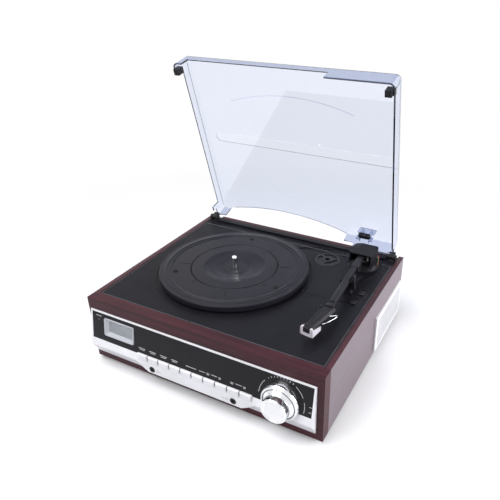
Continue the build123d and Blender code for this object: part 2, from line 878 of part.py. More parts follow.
def nub_place(angle):
    return Rot(0, 0, angle) * Pos(nub_ring_r, 0, 0)


def track_low():
    return platter_top - platter_wall + 1.0


def hub_low():
    return platter_top - platter_dip - 2.6


def platter_nubs():
    flat = platter_top - 1.0
    nubs = []
    for angle in nub_angles:
        nub = turned([(0, flat - 0.8), (nub_r, flat - 0.8), (nub_r, flat + 0.2),
                      (nub_r - 0.7, flat + 0.8), (1.6, flat + 0.8), (1.4, flat + 0.2),
                      (0, flat + 0.2)])
        nubs.append(Pos(platter_x, platter_y, 0) * nub_place(angle) * nub)
    return nubs


def platter_bush():
    bush = round_z(bush_r, platter_x, platter_y, hub_low(), platter_top - platter_dip + 0.4)
    top = bush.edges().filter_by(GeomType.CIRCLE).sort_by(Axis.Z)[-1]
    bush = chamfer(top, 0.3)
    return bush - round_z(journal_r + turn_gap, platter_x, platter_y, 0, 200)


def spindle():
    shoulder = platter_top - platter_dip + 0.4 + move_gap
    rod = round_z(spindle_r, platter_x, platter_y, shoulder, spindle_top)
    tip = rod.edges().filter_by(GeomType.CIRCLE).sort_by(Axis.Z)[-1]
    rod = fillet(tip, spindle_r * 0.8)
    foot = deck_under - bearing_depth + bearing_floor
    return rod + round_z(journal_r, platter_x, platter_y, foot, shoulder)


def spindle_bearing():
    low = deck_under - bearing_depth
    floor = low + bearing_floor
    points = [(0, low), (bearing_r, low), (bearing_r, deck_under - 2.5),
              (bearing_r + 6, deck_under - 2.5), (bearing_r + 6, deck_under),
              (bearing_r, deck_under), (bearing_r, hub_low() - move_gap),
              (journal_r, hub_low() - move_gap), (journal_r, floor), (0, floor)]
    return Pos(platter_x, platter_y, 0) * turned(points)


def drive_motor():
    x, y = pulley_spot()
    top = deck_under
    body = round_z(motor_r, x, y, top - motor_h, top)
    ends = body.edges().filter_by(GeomType.CIRCLE)
    body = fillet(ends, 1.5)
    body += round_z(4.0, x, y, top, top + 2.0)
    return body + round_z(1.0, x, y, top, belt_low() + belt_w)


def belt_low():
    return track_low() + 0.3


def motor_pulley():
    x, y = pulley_spot()
    low = belt_low() - 0.9
    high = belt_low() + belt_w + 0.5
    points = [(1.0 + turn_gap, low), (pulley_r + 1.0, low), (pulley_r + 1.0, low + 0.5),
              (pulley_r, low + 0.6), (pulley_r, high - 0.4), (1.0 + turn_gap, high - 0.4)]
    return Pos(x, y, 0) * turned(points)


def drive_belt():
    x, y = pulley_spot()
    z0 = belt_low()
    outer = belt_loop(x, y, belt_gap + belt_t, z0)
    inner = belt_loop(x, y, belt_gap, z0 - 1, belt_w + 2)
    return outer - inner


def belt_loop(x, y, grow, z0, height=None):
    """The solid inside a belt run round the track and the pulley, grown by a distance."""
    big = platter_track_r + grow
    small = pulley_r + grow
    height = belt_w if height is None else height
    lean = math.acos((big - small) / pulley_distance)
    base = math.radians(pulley_bearing)
    corners = []
    for sign in (1, -1):
        angle = base + sign * lean
        corners.append((platter_x + big * math.cos(angle), platter_y + big * math.sin(angle)))
        corners.append((x + small * math.cos(angle), y + small * math.sin(angle)))
    a, b, c, d = corners
    middle = upright([a, b, d, c], z0, z0 + height)
    return (round_z(big, platter_x, platter_y, z0, z0 + height) + middle
            + round_z(small, x, y, z0, z0 + height))


def adapter_45():
    floor = adapter_floor()
    disc = round_z(adapter_r, adapter_x, adapter_y, floor, floor + adapter_h)
    top = disc.edges().filter_by(GeomType.CIRCLE).sort_by(Axis.Z)[-1]
    disc = chamfer(top, 0.6)
    ring = round_z(14.8, adapter_x, adapter_y, floor + 1.4, floor + 9)
    ring -= round_z(7.6, adapter_x, adapter_y, 0, 200)
    for step in range(3):
        arm = Pos(adapter_x, adapter_y, floor + 5) * Rot(0, 0, 25 + 120 * step)
        ring -= arm * Pos(11, 0, 0) * Box(14, 4.0, 20)
    disc -= ring
    return disc - round_z(adapter_hole_r, adapter_x, adapter_y, 0, 200)


def slide_switch(spot):
    x, y = spot
    knob = Box(7.0, switch_w, 2.6)
    top = [e for e in knob.edges() if e.center().Z > 1.2]
    knob = chamfer(top, 0.8)
    for step in range(3):
        knob -= Pos(0, -2.2 + 2.2 * step, 1.3) * Box(8, 0.7, 0.9)
    stem = Pos(0, 0, -1.3 - deck_t / 2) * Box(switch_slot_w - 0.5, 5.0, deck_t)
    return Pos(x, y - switch_travel / 2, deck_top + 0.15 + 1.3) * (knob + stem)


def switch_bodies():
    bodies = []
    for x, y in switch_spots():
        body = Pos(x, y, deck_under - 3.0) * Box(9, 20, 6)
        body -= Pos(x, y, deck_under - 1.0) * Box(4, 14, 4)
        bodies.append(body)
    return bodies


# Tonearm


def arm_place(part):
    """Moves a part built with the swing axis on z and the arm along -y to its place."""
    return Pos(pivot_x, pivot_y, 0) * Rot(0, 0, arm_turn) * part


def tonearm_base():
    points = [(swing_shaft_r + turn_gap, deck_under - 6.0), (swing_shaft_r + 5.0, deck_under - 6),
              (swing_shaft_r + 5.0, deck_top), (arm_base_r, deck_top),
              (arm_base_r, deck_top + 2.0), (arm_base_r - 0.8, deck_top + 2.8),
              (arm_base_top_r + 0.6, arm_base_top - 0.8), (arm_base_top_r, arm_base_top),
              (swing_shaft_r + turn_gap, arm_base_top)]
    return Pos(pivot_x, pivot_y, 0) * turned(points)


def cover_place(part):
    return Pos(pivot_x, pivot_y, 0) * part


def tonearm_cover():
    """The fixed cover over the arm's bearing: open at the front and the front left corner."""
    low = arm_base_top
    wall = cover_wall
    shell = box(-cover_left, cover_right, -cover_front, cover_back, low, cover_top)
    facet = along_y([(-cover_left - 1, cover_top + 1), (-cover_left - 1, cover_top - cover_facet_h),
                     (-cover_left, cover_top - cover_facet_h),
                     (-cover_left + cover_facet_w, cover_top),
                     (-cover_left + cover_facet_w, cover_top + 1)],
                    -6.0, cover_back + 1)
    shell -= facet
    corner = upright([(-cover_left - 1, -cover_front - 1), (-cover_left + 4.5, -cover_front - 1),
                      (-cover_left, -cover_front + 9.0), (-cover_left - 1, -cover_front + 9.0)],
                     low - 1, cover_top + 1)
    shell -= corner
    back = [e for e in shell.edges().filter_by(Axis.Z) if e.center().Y > cover_back - 0.1]
    shell = fillet(back, 4.5)
    right = [e for e in shell.edges().filter_by(Axis.Z)
             if e.center().X > cover_right - 0.1 and e.center().Y < 0]
    shell = fillet(right, 2.0)
    hollow = box(-cover_left + wall, cover_right - wall, -cover_front - 2, cover_back - wall,
                 low - 1, cover_top - wall)
    roof_line = Pos(0, 0, -wall * 1.05) * facet
    shell -= hollow - roof_line
    # the left wall stops short, so that the arm can swing out under the roof
    shell -= box(-cover_left - 1, -cover_left + wall + 0.1, -cover_front - 1, -11.0,
                 low - 1, cover_top - wall)
    # the floor ring that sits on the tonearm base
    floor = round_z(arm_base_top_r, 0, 0, low, low + 1.6)
    floor += box(-cover_left + 0.5, cover_right - 0.5, -6, cover_back - 0.5, low, low + 1.6)
    floor -= round_z(yoke_r + 0.8, 0, 0, low - 1, low + 5)
    # the groove and the rib down the right side
    shell -= box(cover_right - 0.7, cover_right + 1, -6.5, -5.3, low + 2, cover_top - 3)
    shell += box(cover_right - 0.2, cover_right + 0.6, -16.0, -14.2, low + 4, cover_top - 3)
    return cover_place(shell + floor)


def tonearm_yoke():
    """Turns on the tonearm base and carries the arm's level pin between its two ears."""
    low = arm_base_top + move_gap
    yoke = round_z(yoke_r, 0, 0, low, low + 2.4)
    inner = arm_root_w / 2 + move_gap
    for side in (-1, 1):
        x0 = side * inner
        x1 = side * (inner + yoke_ear_t)
        ear = box(min(x0, x1), max(x0, x1), -3.6, 3.6, low, arm_pivot_z)
        ear += round_x(3.6, 0, arm_pivot_z, min(x0, x1), max(x0, x1))
        yoke += ear
    yoke += round_z(swing_shaft_r, 0, 0, deck_under - 8.0, low + 1.0)
    yoke -= round_x(arm_pivot_r, 0, arm_pivot_z, -20, 20)
    return arm_place(yoke)


def yoke_pin():
    half = arm_root_w / 2 + move_gap + yoke_ear_t
    return arm_place(round_x(arm_pivot_r, 0, arm_pivot_z, -half, half))


def arm_centre_z(y):
    """Height of the arm's middle at a distance in front of the pivot."""
    return arm_pivot_z - arm_drop * max(0.0, y - 20.0) / (arm_length - 20.0)


def arm_tube():
    root_h = arm_h + 0.6
    root = box(-arm_root_w / 2, arm_root_w / 2, -34.0, 6.5, arm_pivot_z - root_h / 2,
               arm_pivot_z + root_h / 2)
    root = fillet(root.edges().filter_by(Axis.Y), 1.2)
    z0 = arm_pivot_z
    z1 = arm_pivot_z - arm_drop
    top = arm_h / 2
    side = Polyline((0, -30.0, z0 - top), (0, -30.0, z0 + top), (0, -arm_length, z1 + top),
                    (0, -arm_length, z1 - top), close=True)
    tube = extrude(make_face(side), arm_w / 2, both=True)
    tube = fillet(tube.edges().filter_by(GeomType.LINE).filter_by(
        lambda e: abs((e @ 0).Y - (e @ 1).Y) > 50), 1.6)
    arm = root + tube
    arm -= round_x(arm_pivot_r + turn_gap, 0, arm_pivot_z, -20, 20)
    # the groove along the top, a little left of the middle
    slope = math.degrees(math.atan2(arm_drop, arm_length - 30.0))
    groove = Pos(-1.1, -36.5 - (arm_length - 40) / 2, (z0 + z1) / 2 + top)
    arm -= groove * Rot(slope, 0, 0) * Box(1.1, arm_length - 40, 1.0)
    return arm_place(arm)


def head_place(part):
    """Moves a part built with the head's joint at the origin and its nose along -y."""
    z = arm_pivot_z - arm_drop
    return arm_place(Pos(0, -arm_length, z) * Rot(0, 0, -head_offset) * part)


def headshell():
    top = arm_h / 2 - 0.4
    front = -head_length
    half = head_w / 2
    plan = Polyline((-3.4, 2.0, 0), (3.4, 2.0, 0), (half, -7.0, 0), (half, front + 4, 0),
                    (half - 4, front, 0), (-half + 4, front, 0), (-half, front + 4, 0),
                    (-half, -7.0, 0), close=True)
    body = Pos(0, 0, top - head_h) * extrude(make_face(plan), head_h, dir=(0, 0, 1))
    roof = [e for e in body.edges() if e.center().Z > top - 0.01]
    body = chamfer(roof, 1.0)
    body -= box(-half + 1.6, half - 1.6, front + 3.0, -9.0, top - head_h - 1, top - 2.2)
    for y in (-17.0, -24.0, -31.0):
        body -= box(-3.5, 3.5, y - 1.3, y + 1.3, top - 5, top + 1)
    body += box(-half - 2.0, -half + 1.0, -12.0, -7.5, top - 4.5, top - 1.5)
    return head_place(body) - arm_tube()


def finger_lift():
    half = head_w / 2
    top = arm_h / 2 - 0.4
    loop = None
    points = [(half - 0.3, -12.0), (half + 5.0, -13.5), (half + 8.0, -18.0), (half + 7.5, -24.0)]
    for (xa, ya), (xb, yb) in zip(points, points[1:]):
        length = math.hypot(xb - xa, yb - ya)
        angle = math.degrees(math.atan2(yb - ya, xb - xa))
        bar = Pos((xa + xb) / 2, (ya + yb) / 2, top - 2.0) * Rot(0, 0, angle)
        bar *= Box(length + 1.4, 1.6, 1.6)
        loop = bar if loop is None else loop + bar
    loop -= box(-half, half, -40, 0, -20, 20)
    return head_place(loop)


def cartridge():
    top = arm_h / 2 - 0.4
    half = head_w / 2
    front = -head_length
    body = box(-half + 3.0, half - 3.0, front + 6.0, -12.0, top - head_h - 0.2, top - 2.2)
    body += box(-2.2, 2.2, front + 3.4, front + 9.0, top - head_h - 0.2, top - head_h + 2.4)
    return head_place(body)


def stylus():
    top = arm_h / 2 - 0.4
    front = -head_length
    z = top - head_h - 0.2
    shank = box(-0.6, 0.6, front + 4.0, front + 11.0, z - 0.9, z)
    return head_place(shank)


def stylus_guard():
    top = arm_h / 2 - 0.4
    front = -head_length
    half = head_w / 2 - 1.6
    low = guard_low()
    z_shell = top - head_h
    cup = box(-half, half, front - 3.4, front + 9.0, low, z_shell - 1.35)
    nose = box(-half, half, front - 3.4, front - 0.3, low, top - 1.0)
    guard = cup + nose
    guard = fillet(guard.edges().filter_by(Axis.Z), 1.2)
    inside = box(-half + 1.6, half - 1.6, front - 1.6, front + 12.0, low + 0.8, z_shell + 9)
    return head_place(guard - (inside & box(-50, 50, -80, 50, low + 0.8, z_shell - 0.4)))


def guard_low():
    head_z = arm_pivot_z - arm_drop
    return platter_top + arm_swing_clear - head_z


def rest_x():
    return pivot_x + (pivot_y - rest_y) * math.tan(math.radians(arm_turn))


def arm_rest():
    """The post that the arm lies in, with the lug and the pin of the cue lever on its back."""
    x = rest_x()
    tip = arm_centre_z(pivot_y - rest_y) - arm_h / 2 - move_gap
    half = rest_w / 2
    outline = [(-half + 2.0, deck_top), (half - 2.0, deck_top), (half - 4.6, deck_top + 5.0),
               (half - 5.2, tip - 6.0), (half, tip - 2.6), (half, tip + 2.5),
               (half - 1.8, tip + 3.0), (arm_w / 2 + 1.2, tip - 0.4), (arm_w / 2, tip - 1.4),
               (-arm_w / 2, tip - 1.4), (-arm_w / 2 - 1.4, tip), (-half, tip),
               (-half + 0.6, tip - 2.2), (-half + 5.2, tip - 6.0), (-half + 4.6, deck_top + 5.0)]
    post = along_y([(x + a, z) for a, z in outline], rest_y - 3.5, rest_y + 3.5)
    foot = upright([(x - half + 1, rest_y - 5), (x + half - 1, rest_y - 5),
                    (x + half - 1, rest_y + 5), (x - half + 1, rest_y + 5)],
                   deck_top, deck_top + 1.2)
    lug_x = cue_x - 1.2 - move_gap
    lug = box(lug_x - 2.0, lug_x, rest_y, cue_y, cue_axis_z - 2.2, cue_axis_z + 2.2)
    lug += round_x(2.2, cue_y, cue_axis_z, lug_x - 2.0, lug_x)
    lug &= box(0, cab_w, 0, cab_d, 0, tip - 0.1)
    pin = round_x(1.0, cue_y, cue_axis_z, lug_x - 1.0, cue_x + 1.2 + 2 * move_gap)
    pin += round_x(1.7, cue_y, cue_axis_z, cue_x + 1.2 + move_gap, cue_x + 2.4)
    return post + foot + lug + pin


def cue_lever():
    hub = round_x(2.2, 0, 0, -1.2, 1.2)
    bar = box(-0.9, 0.9, 0, cue_length, -0.8, 0.8)
    pad = box(-1.5, 1.5, cue_length - 4.5, cue_length + 1.5, -1.1, 1.1)
    pad = fillet(pad.edges().filter_by(Axis.Z), 1.2)
    lever = hub + bar + pad - round_x(1.0 + turn_gap, 0, 0, -9, 9)
    return Pos(cue_x, cue_y, cue_axis_z) * Rot(-cue_lean, 0, 0) * lever


# Lid and hinges


def hinge_spans():
    return [(hinge_inner, hinge_inner + hinge_w), (cab_w - hinge_inner - hinge_w,
                                                   cab_w - hinge_inner)]


def hinge_brackets():
    pieces = []
    floor = cab_h - hinge_sink
    for x0, x1 in hinge_spans():
        plate = box(x0, x1, hinge_y - hinge_barrel_r - 3.0, hinge_y + 9.0, floor, floor + 2.6)
        ears = []
        for xa, xb in ((x0, x0 + 2.6), (x1 - 2.6, x1)):
            ear = box(xa, xb, hinge_y - 3.6, hinge_y + 3.6, floor, hinge_z)
            ear += round_x(3.6, hinge_y, hinge_z, xa, xb)
            ears.append(ear)
        pin = round_x(hinge_pin_r, hinge_y, hinge_z, x0 + 1.0, x1 - 1.0)
        pieces.append(plate + ears[0] + ears[1] + pin)
    return pieces


def lid_place(part):
    """Opens a part that was built in the closed lid's place."""
    return Pos(0, hinge_y, hinge_z) * Rot(-lid_open, 0, 0) * Pos(0, -hinge_y, -hinge_z) * part


def lid_block(x0, x1, a0, a1, b0, b1):
    """A block in the closed lid: a runs forward from the hinge axis, b up from it."""
    return box(x0, x1, hinge_y - a1, hinge_y - a0, hinge_z + b0, hinge_z + b1)


def lid_tub(inset, height):
    """The closed lid's outline drawn up from its rim with the sides leaning in."""
    x0 = lid_left + inset
    x1 = lid_right - inset
    a1 = lid_front - inset
    a0 = -2.2 + inset
    middle = Pos((x0 + x1) / 2, hinge_y - (a0 + a1) / 2, hinge_z + lid_rim)
    sketch = middle * RectangleRounded(x1 - x0, a1 - a0, lid_corner_r - inset)
    return extrude(sketch, height, dir=(0, 0, 1), taper=lid_draft)


def lid():
    top_b = lid_rim + lid_h
    shell = lid_tub(0, lid_h)
    roof = [e for e in shell.edges() if e.center().Z > hinge_z + top_b - 0.01]
    shell = fillet(roof, 3.0)
    shell -= lid_tub(lid_t, lid_h - lid_t)
    # the front and left skirts are short for most of their length
    low = top_b - lid_short
    shell -= lid_block(lid_left + 14.4, lid_right - 86.4, lid_front - 12, lid_front + 9, -9, low)
    shell -= lid_block(0, lid_left + 47.4, 18.0, lid_front - 18.0, -9, low)
    # the rear edge arches forward between the two hinge tabs
    arch_x0 = lid_left + 17.4
    arch_x1 = lid_right - 79.4
    arch_y = hinge_y - 2.0
    arch = ThreePointArc((arch_x0, arch_y), ((arch_x0 + arch_x1) / 2, arch_y - 16.0),
                         (arch_x1, arch_y))
    back = Polyline((arch_x1, arch_y), (arch_x1, hinge_y + 20.0), (arch_x0, hinge_y + 20.0),
                    (arch_x0, arch_y))
    cut = Pos(0, 0, hinge_z - 20) * extrude(make_face(Curve() + [arch, back]), 80, dir=(0, 0, 1))
    shell -= cut
    # the rear wall stands higher where the tabs meet the arch
    shell -= lid_block(arch_x1 - 8.0, arch_x1 + 16.0, -10, 8, -9, 12.5)
    shell -= lid_block(arch_x0 - 9.5, arch_x0 + 10.0, -10, 8, -9, 9.5)
    # clear of the hinge brackets
    for x0, x1 in hinge_spans():
        shell -= lid_block(x0 - 0.6, x1 + 0.6, -12, 11.0, -12, 8.2)
    # the round-ended channel across the middle
    half = channel_w / 2
    floor = top_b - channel_depth
    channel = lid_block(channel_left + half, cab_w + 10, channel_a - half, channel_a + half,
                        floor, top_b + 2)
    channel += round_z(half, channel_left + half, hinge_y - channel_a, hinge_z + floor,
                       hinge_z + top_b + 2)
    shell -= channel
    # the ribbed flange that hangs inside, just behind the tonearm
    under = top_b - lid_t
    flange = flange_web(lid_flange_left, lid_flange_right, 0.0, under + 0.5)
    for x in (lid_flange_left + 4.5, lid_flange_right - 6.5):
        flange += flange_web(x - 0.8, x + 0.8, 3.2, under + 0.5)
    return lid_place(shell + flange)


def flange_web(x0, x1, extra, top):
    """The slanting web of the flange in the closed lid, thickened to the rear by extra."""
    line = [(18.0 - extra, top), (19.8, top), (22.2, flange_low), (20.4 - extra, flange_low)]
    return along_x([(hinge_y - a, hinge_z + b) for a, b in line], x0, x1)


def flange_tip():
    """The black tip pushed over the flange's edge."""
    x0 = lid_flange_left + 3.0
    x1 = lid_flange_right - 4.0
    tip = lid_block(x0, x1, 16.6, 22.2, flange_low - 6.5, flange_low)
    tip = fillet(tip.edges().filter_by(Axis.Y), 2.4)
    for x in (x0 + 5.0, x1 - 5.0):
        tip -= lid_block(x - 2.0, x + 2.0, 10, 30, flange_low - 4.6, flange_low - 2.0)
    return lid_place(tip)


def lid_knuckles():
    pieces = []
    for x0, x1 in hinge_spans():
        xa = x0 + 2.6 + move_gap
        xb = x1 - 2.6 - move_gap
        barrel = round_x(hinge_barrel_r - 0.4, hinge_y, hinge_z, xa, xb)
        web = lid_block(xa, xb, -1.5, 2.6, 2.0, 8.1)
        plate = lid_block(xa, xb, -3.0, 2.6, 8.0, 22.0) & lid_tub(lid_t, lid_h - lid_t)
        knuckle = barrel + web + plate
        knuckle -= round_x(hinge_pin_r + turn_gap, hinge_y, hinge_z, x0, x1)
        pieces.append(lid_place(knuckle))
    return pieces


def lid_pads():
    pieces = []
    low = cab_h + 0.4 - hinge_z
    inside = lid_tub(lid_t, lid_h - lid_t)
    for xa, xb in ((lid_left, lid_left + lid_t + 9.0), (lid_right - lid_t - 9.0, lid_right)):
        pad = lid_block(xa, xb, lid_front - 15.0, lid_front - 7.0, lid_rim, 7.0) & inside
        xc = xa + lid_t + 1.0 if xa == lid_left else xa
        xd = xb if xa == lid_left else xb - lid_t - 1.0
        pad += lid_block(xc, xd, lid_front - 15.0, lid_front - 7.0, low, lid_rim)
        pieces.append(lid_place(pad))
    return pieces


# All pieces


def place(part):
    return to_object * part


def write(name, made):
    pieces = made if isinstance(made, list) else [made]
    solids = []
    for piece in pieces:
        solids.extend(place(piece).solids())
    shape = solids[0] if len(solids) == 1 else Compound(children=solids)
    shape.label = name
    export_step(shape, "parts/" + name + ".step")
    return len(solids)


def circuit_boards():
    return [control_board()] + board_posts() + [rear_board_pcb()] + main_board_parts()


def controls():
    return tact_switches() + switch_bodies() + [function_switch(), volume_control()]


def all_parts():
    return {
        "front_board": front_board,
        "left_side_board": lambda: side_board(-1),
        "right_side_board": lambda: side_board(1),
        "rear_board": rear_board,
        "base_board": lambda: [base_board()] + battens(),
        "rubber_feet": rubber_feet,
        "top_deck": top_deck,
        "bezel": bezel,
        "front_panel": front_panel,
        "display_frame": display_frame,
        "display_window": display_window,
        "display_unit": display_unit,
        "power_lamp": power_lamp,
        "knob_ring": knob_ring,
        "volume_knob": lambda: [volume_knob(), volume_shaft()],
        "function_ring": function_ring,
        "circuit_boards": circuit_boards,
        "controls": controls,
        "front_jacks": front_jacks,
        "side_grilles": lambda: [side_grille(-1), side_grille(1)],
        "speaker_frames": lambda: speaker_frames() + speaker_magnets(),
        "speaker_cones": speaker_cones,
        "rear_terminals": lambda: [rear_plate()] + rca_sockets() + [power_inlet()],
        "screws": screws,
        "platter": platter,
        "platter_nubs": platter_nubs,
        "platter_bush": platter_bush,
        "spindle": spindle,
        "spindle_bearing": spindle_bearing,
        "drive_motor": drive_motor,
        "motor_pulley": motor_pulley,
        "drive_belt": drive_belt,
        "adapter_45": adapter_45,
        "speed_switch": lambda: slide_switch(switch_spots()[0]),
        "stop_switch": lambda: slide_switch(switch_spots()[1]),
        "tonearm_base": tonearm_base,
        "tonearm_cover": tonearm_cover,
        "tonearm_yoke": lambda: [tonearm_yoke(), yoke_pin()],
        "arm_tube": arm_tube,
        "headshell": headshell,
        "finger_lift": finger_lift,
        "cartridge": lambda: [cartridge(), stylus()],
        "stylus_guard": stylus_guard,
        "arm_rest": arm_rest,
        "cue_lever": cue_lever,
        "hinge_brackets": hinge_brackets,
        "lid": lid,
        "lid_fittings": lambda: lid_knuckles() + lid_pads() + [flange_tip()],
    }


def main():
    os.makedirs("parts", exist_ok=True)
    for name, make in all_parts().items():
        print(name, write(name, make()))
    for number in range(key_count):
        name = "key_%d" % (number + 1)
        print(name, write(name, key(number)))


main()
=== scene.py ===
import json
import math

import bmesh
import bpy
from mathutils import Matrix, Vector


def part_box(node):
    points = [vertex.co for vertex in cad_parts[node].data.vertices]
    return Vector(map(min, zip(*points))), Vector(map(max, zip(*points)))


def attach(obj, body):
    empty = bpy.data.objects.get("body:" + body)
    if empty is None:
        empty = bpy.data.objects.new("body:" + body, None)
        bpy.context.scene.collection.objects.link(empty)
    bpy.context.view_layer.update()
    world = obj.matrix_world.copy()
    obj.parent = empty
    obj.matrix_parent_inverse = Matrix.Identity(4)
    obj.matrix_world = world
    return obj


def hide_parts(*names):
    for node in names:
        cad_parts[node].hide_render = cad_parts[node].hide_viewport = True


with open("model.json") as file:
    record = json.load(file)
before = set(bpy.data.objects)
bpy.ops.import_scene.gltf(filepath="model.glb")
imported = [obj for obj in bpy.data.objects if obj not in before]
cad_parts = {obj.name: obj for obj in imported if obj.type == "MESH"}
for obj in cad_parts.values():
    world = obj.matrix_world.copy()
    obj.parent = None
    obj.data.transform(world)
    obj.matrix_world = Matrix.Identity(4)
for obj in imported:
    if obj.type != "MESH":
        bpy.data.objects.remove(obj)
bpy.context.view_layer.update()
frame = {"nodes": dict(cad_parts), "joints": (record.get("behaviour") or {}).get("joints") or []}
joints = {joint["name"]: joint for joint in frame["joints"]}

# Places are written in millimetres from the cabinet's front left bottom corner and worked out from
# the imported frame, so every piece lands on what carries it.
MM = 0.001
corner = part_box("front_board")[0]
lid_hinge = Vector(joints["lid_hinge"]["pos_m"])
lid_open = math.radians(joints["lid_hinge"]["range_deg"][1])
arm_pivot = Vector(joints["tonearm_swing"]["pos_m"])
knob_centre = Vector(joints["volume_turn"]["pos_m"])
platter_centre = Vector(joints["platter_spin"]["pos_m"])
deck_top = 91.6

# The lid's top, measured out from its hinge: just under its inner face, and its outer face
lid_inside = 26.1
lid_outside = 28.3


def at(x, y, z):
    """A point given in millimetres from the cabinet's corner."""
    return corner + Vector((x, y, z)) * MM


# The sloped front face
panel_slope = math.radians(10.3)
slope_up = Vector((0, math.sin(panel_slope), math.cos(panel_slope)))
slope_out = Vector((0, -math.cos(panel_slope), math.sin(panel_slope)))
slope_top = (-1.5, 75.7)


def on_slope(x, z, out=0.0):
    """A point on the sloped front face, out millimetres in front of it."""
    y = slope_top[0] - (slope_top[1] - z) * math.tan(panel_slope)
    return at(x, y, z) + slope_out * out * MM


def slope_matrix(point):
    """Stands a piece drawn on the XY plane against the sloped face at a point."""
    turn = Matrix((Vector((1, 0, 0)), slope_up, slope_out)).transposed()
    return Matrix.Translation(point) @ turn.to_4x4()


def on_lid(x, a, b):
    """A point of the open lid: a runs from the hinge to its front edge, b out through its top."""
    closed = Vector((0, -a * MM, b * MM))
    turned = Matrix.Rotation(-lid_open, 3, "X") @ closed
    return Vector((at(x, 0, 0).x, lid_hinge.y, lid_hinge.z)) + turned


def lid_direction(a, b):
    """A direction of the open lid, along it and out through its top."""
    return (on_lid(0, a, b) - on_lid(0, 0, 0)).normalized()


# The tonearm
arm_turn = math.radians(3.1)
arm_length = 143.0
head_offset = math.radians(11.0)
head_w = 18.0
arm_height = 114.6
arm_drop = 3.4


def arm_matrix():
    """From the arm's own frame, its swing axis on z and the arm along -y, to the object's."""
    foot = Vector((arm_pivot.x, arm_pivot.y, corner.z))
    return Matrix.Translation(foot) @ Matrix.Rotation(arm_turn, 4, "Z")


def head_matrix():
    """From the headshell's own frame, its joint at the origin and its nose along -y."""
    joint = Vector((0, -arm_length, arm_height - arm_drop)) * MM
    return arm_matrix() @ Matrix.Translation(joint) @ Matrix.Rotation(-head_offset, 4, "Z")


# Workshop helpers


def put_down():
    """Leaves edit mode and deselects everything."""
    if bpy.context.mode != "OBJECT":
        bpy.ops.object.mode_set(mode="OBJECT")
    bpy.ops.object.select_all(action="DESELECT")


def take(piece):
    """Makes one piece the only one selected."""
    put_down()
    bpy.context.view_layer.objects.active = piece
    piece.select_set(True)


def seat(piece):
    """Puts a piece's place, turn and size into its mesh."""
    take(piece)
    bpy.ops.object.transform_apply(location=True, rotation=True, scale=True)
    return piece


def block(name, low, high):
    """A block between two corners, to be shaped further."""
    put_down()
    bpy.ops.mesh.primitive_cube_add(size=1, location=(low + high) / 2)
    piece = bpy.context.object
    piece.name = name
    piece.scale = high - low
    return seat(piece)


def disc(name, centre, radius, depth, sides=48, turn=(0, 0, 0)):
    """A round blank about its own axis, to be shaped further."""
    put_down()
    bpy.ops.mesh.primitive_cylinder_add(vertices=sides, radius=radius * MM, depth=depth * MM,
                                        location=centre, rotation=turn)
    piece = bpy.context.object
    piece.name = name
    return seat(piece)


def pick(piece, kind, test):
    """Opens a piece in edit mode with the edges or faces selected that a test accepts."""
    take(piece)
    bpy.ops.object.mode_set(mode="EDIT")
    bpy.ops.mesh.select_mode(type=kind)
    bpy.ops.mesh.select_all(action="DESELECT")
    shape = bmesh.from_edit_mesh(piece.data)
    for part in (shape.edges if kind == "EDGE" else shape.faces):
        if test(part):
            part.select_set(True)
    bmesh.update_edit_mesh(piece.data)


def round_edges(piece, test, width, steps=2):
    """Rounds the edges that a test accepts."""
    pick(piece, "EDGE", test)
    bpy.ops.mesh.bevel(offset=width * MM, segments=steps, affect="EDGES")
    put_down()
    return piece


def resize_faces(piece, test, value, centre=None):
    """Scales the faces that a test accepts, about their own middle or about a centre."""
    pick(piece, "FACE", test)
    if centre is None:
        bpy.ops.transform.resize(value=value)
    else:
        bpy.ops.transform.resize(value=value, center_override=centre)
    put_down()


def moved(piece, matrix):
    """Moves a piece's mesh by a matrix."""
    piece.data.transform(matrix)
    return piece


def copied(piece, name, matrix):
    """A copy of a piece with its own mesh, moved by a matrix."""
    take(piece)
    bpy.ops.object.duplicate(linked=False)
    made = bpy.context.object
    made.name = name
    return moved(made, matrix)


def joined(name, pieces):
    """Several pieces as one."""
    put_down()
    for piece in pieces:
        piece.select_set(True)
    bpy.context.view_layer.objects.active = pieces[0]
    if len(pieces) > 1:
        bpy.ops.object.join()
    made = bpy.context.object
    made.name = name
    return made


def wire(name, points, radius):
    """A smooth round wire led by points, made a mesh."""
    put_down()
    line = bpy.data.curves.new(name, "CURVE")
    line.dimensions = "3D"
    spline = line.splines.new("NURBS")
    spline.points.add(len(points) - 1)
    for knot, point in zip(spline.points, points):
        knot.co = (*point, 1.0)
    spline.order_u = 4
    spline.use_endpoint_u = True
    spline.resolution_u = 8
    line.bevel_depth = radius * MM
    line.bevel_resolution = 3
    line.use_fill_caps = True
    piece = bpy.data.objects.new(name, line)
    bpy.context.scene.collection.objects.link(piece)
    take(piece)
    bpy.ops.object.convert(target="MESH")
    return bpy.context.object


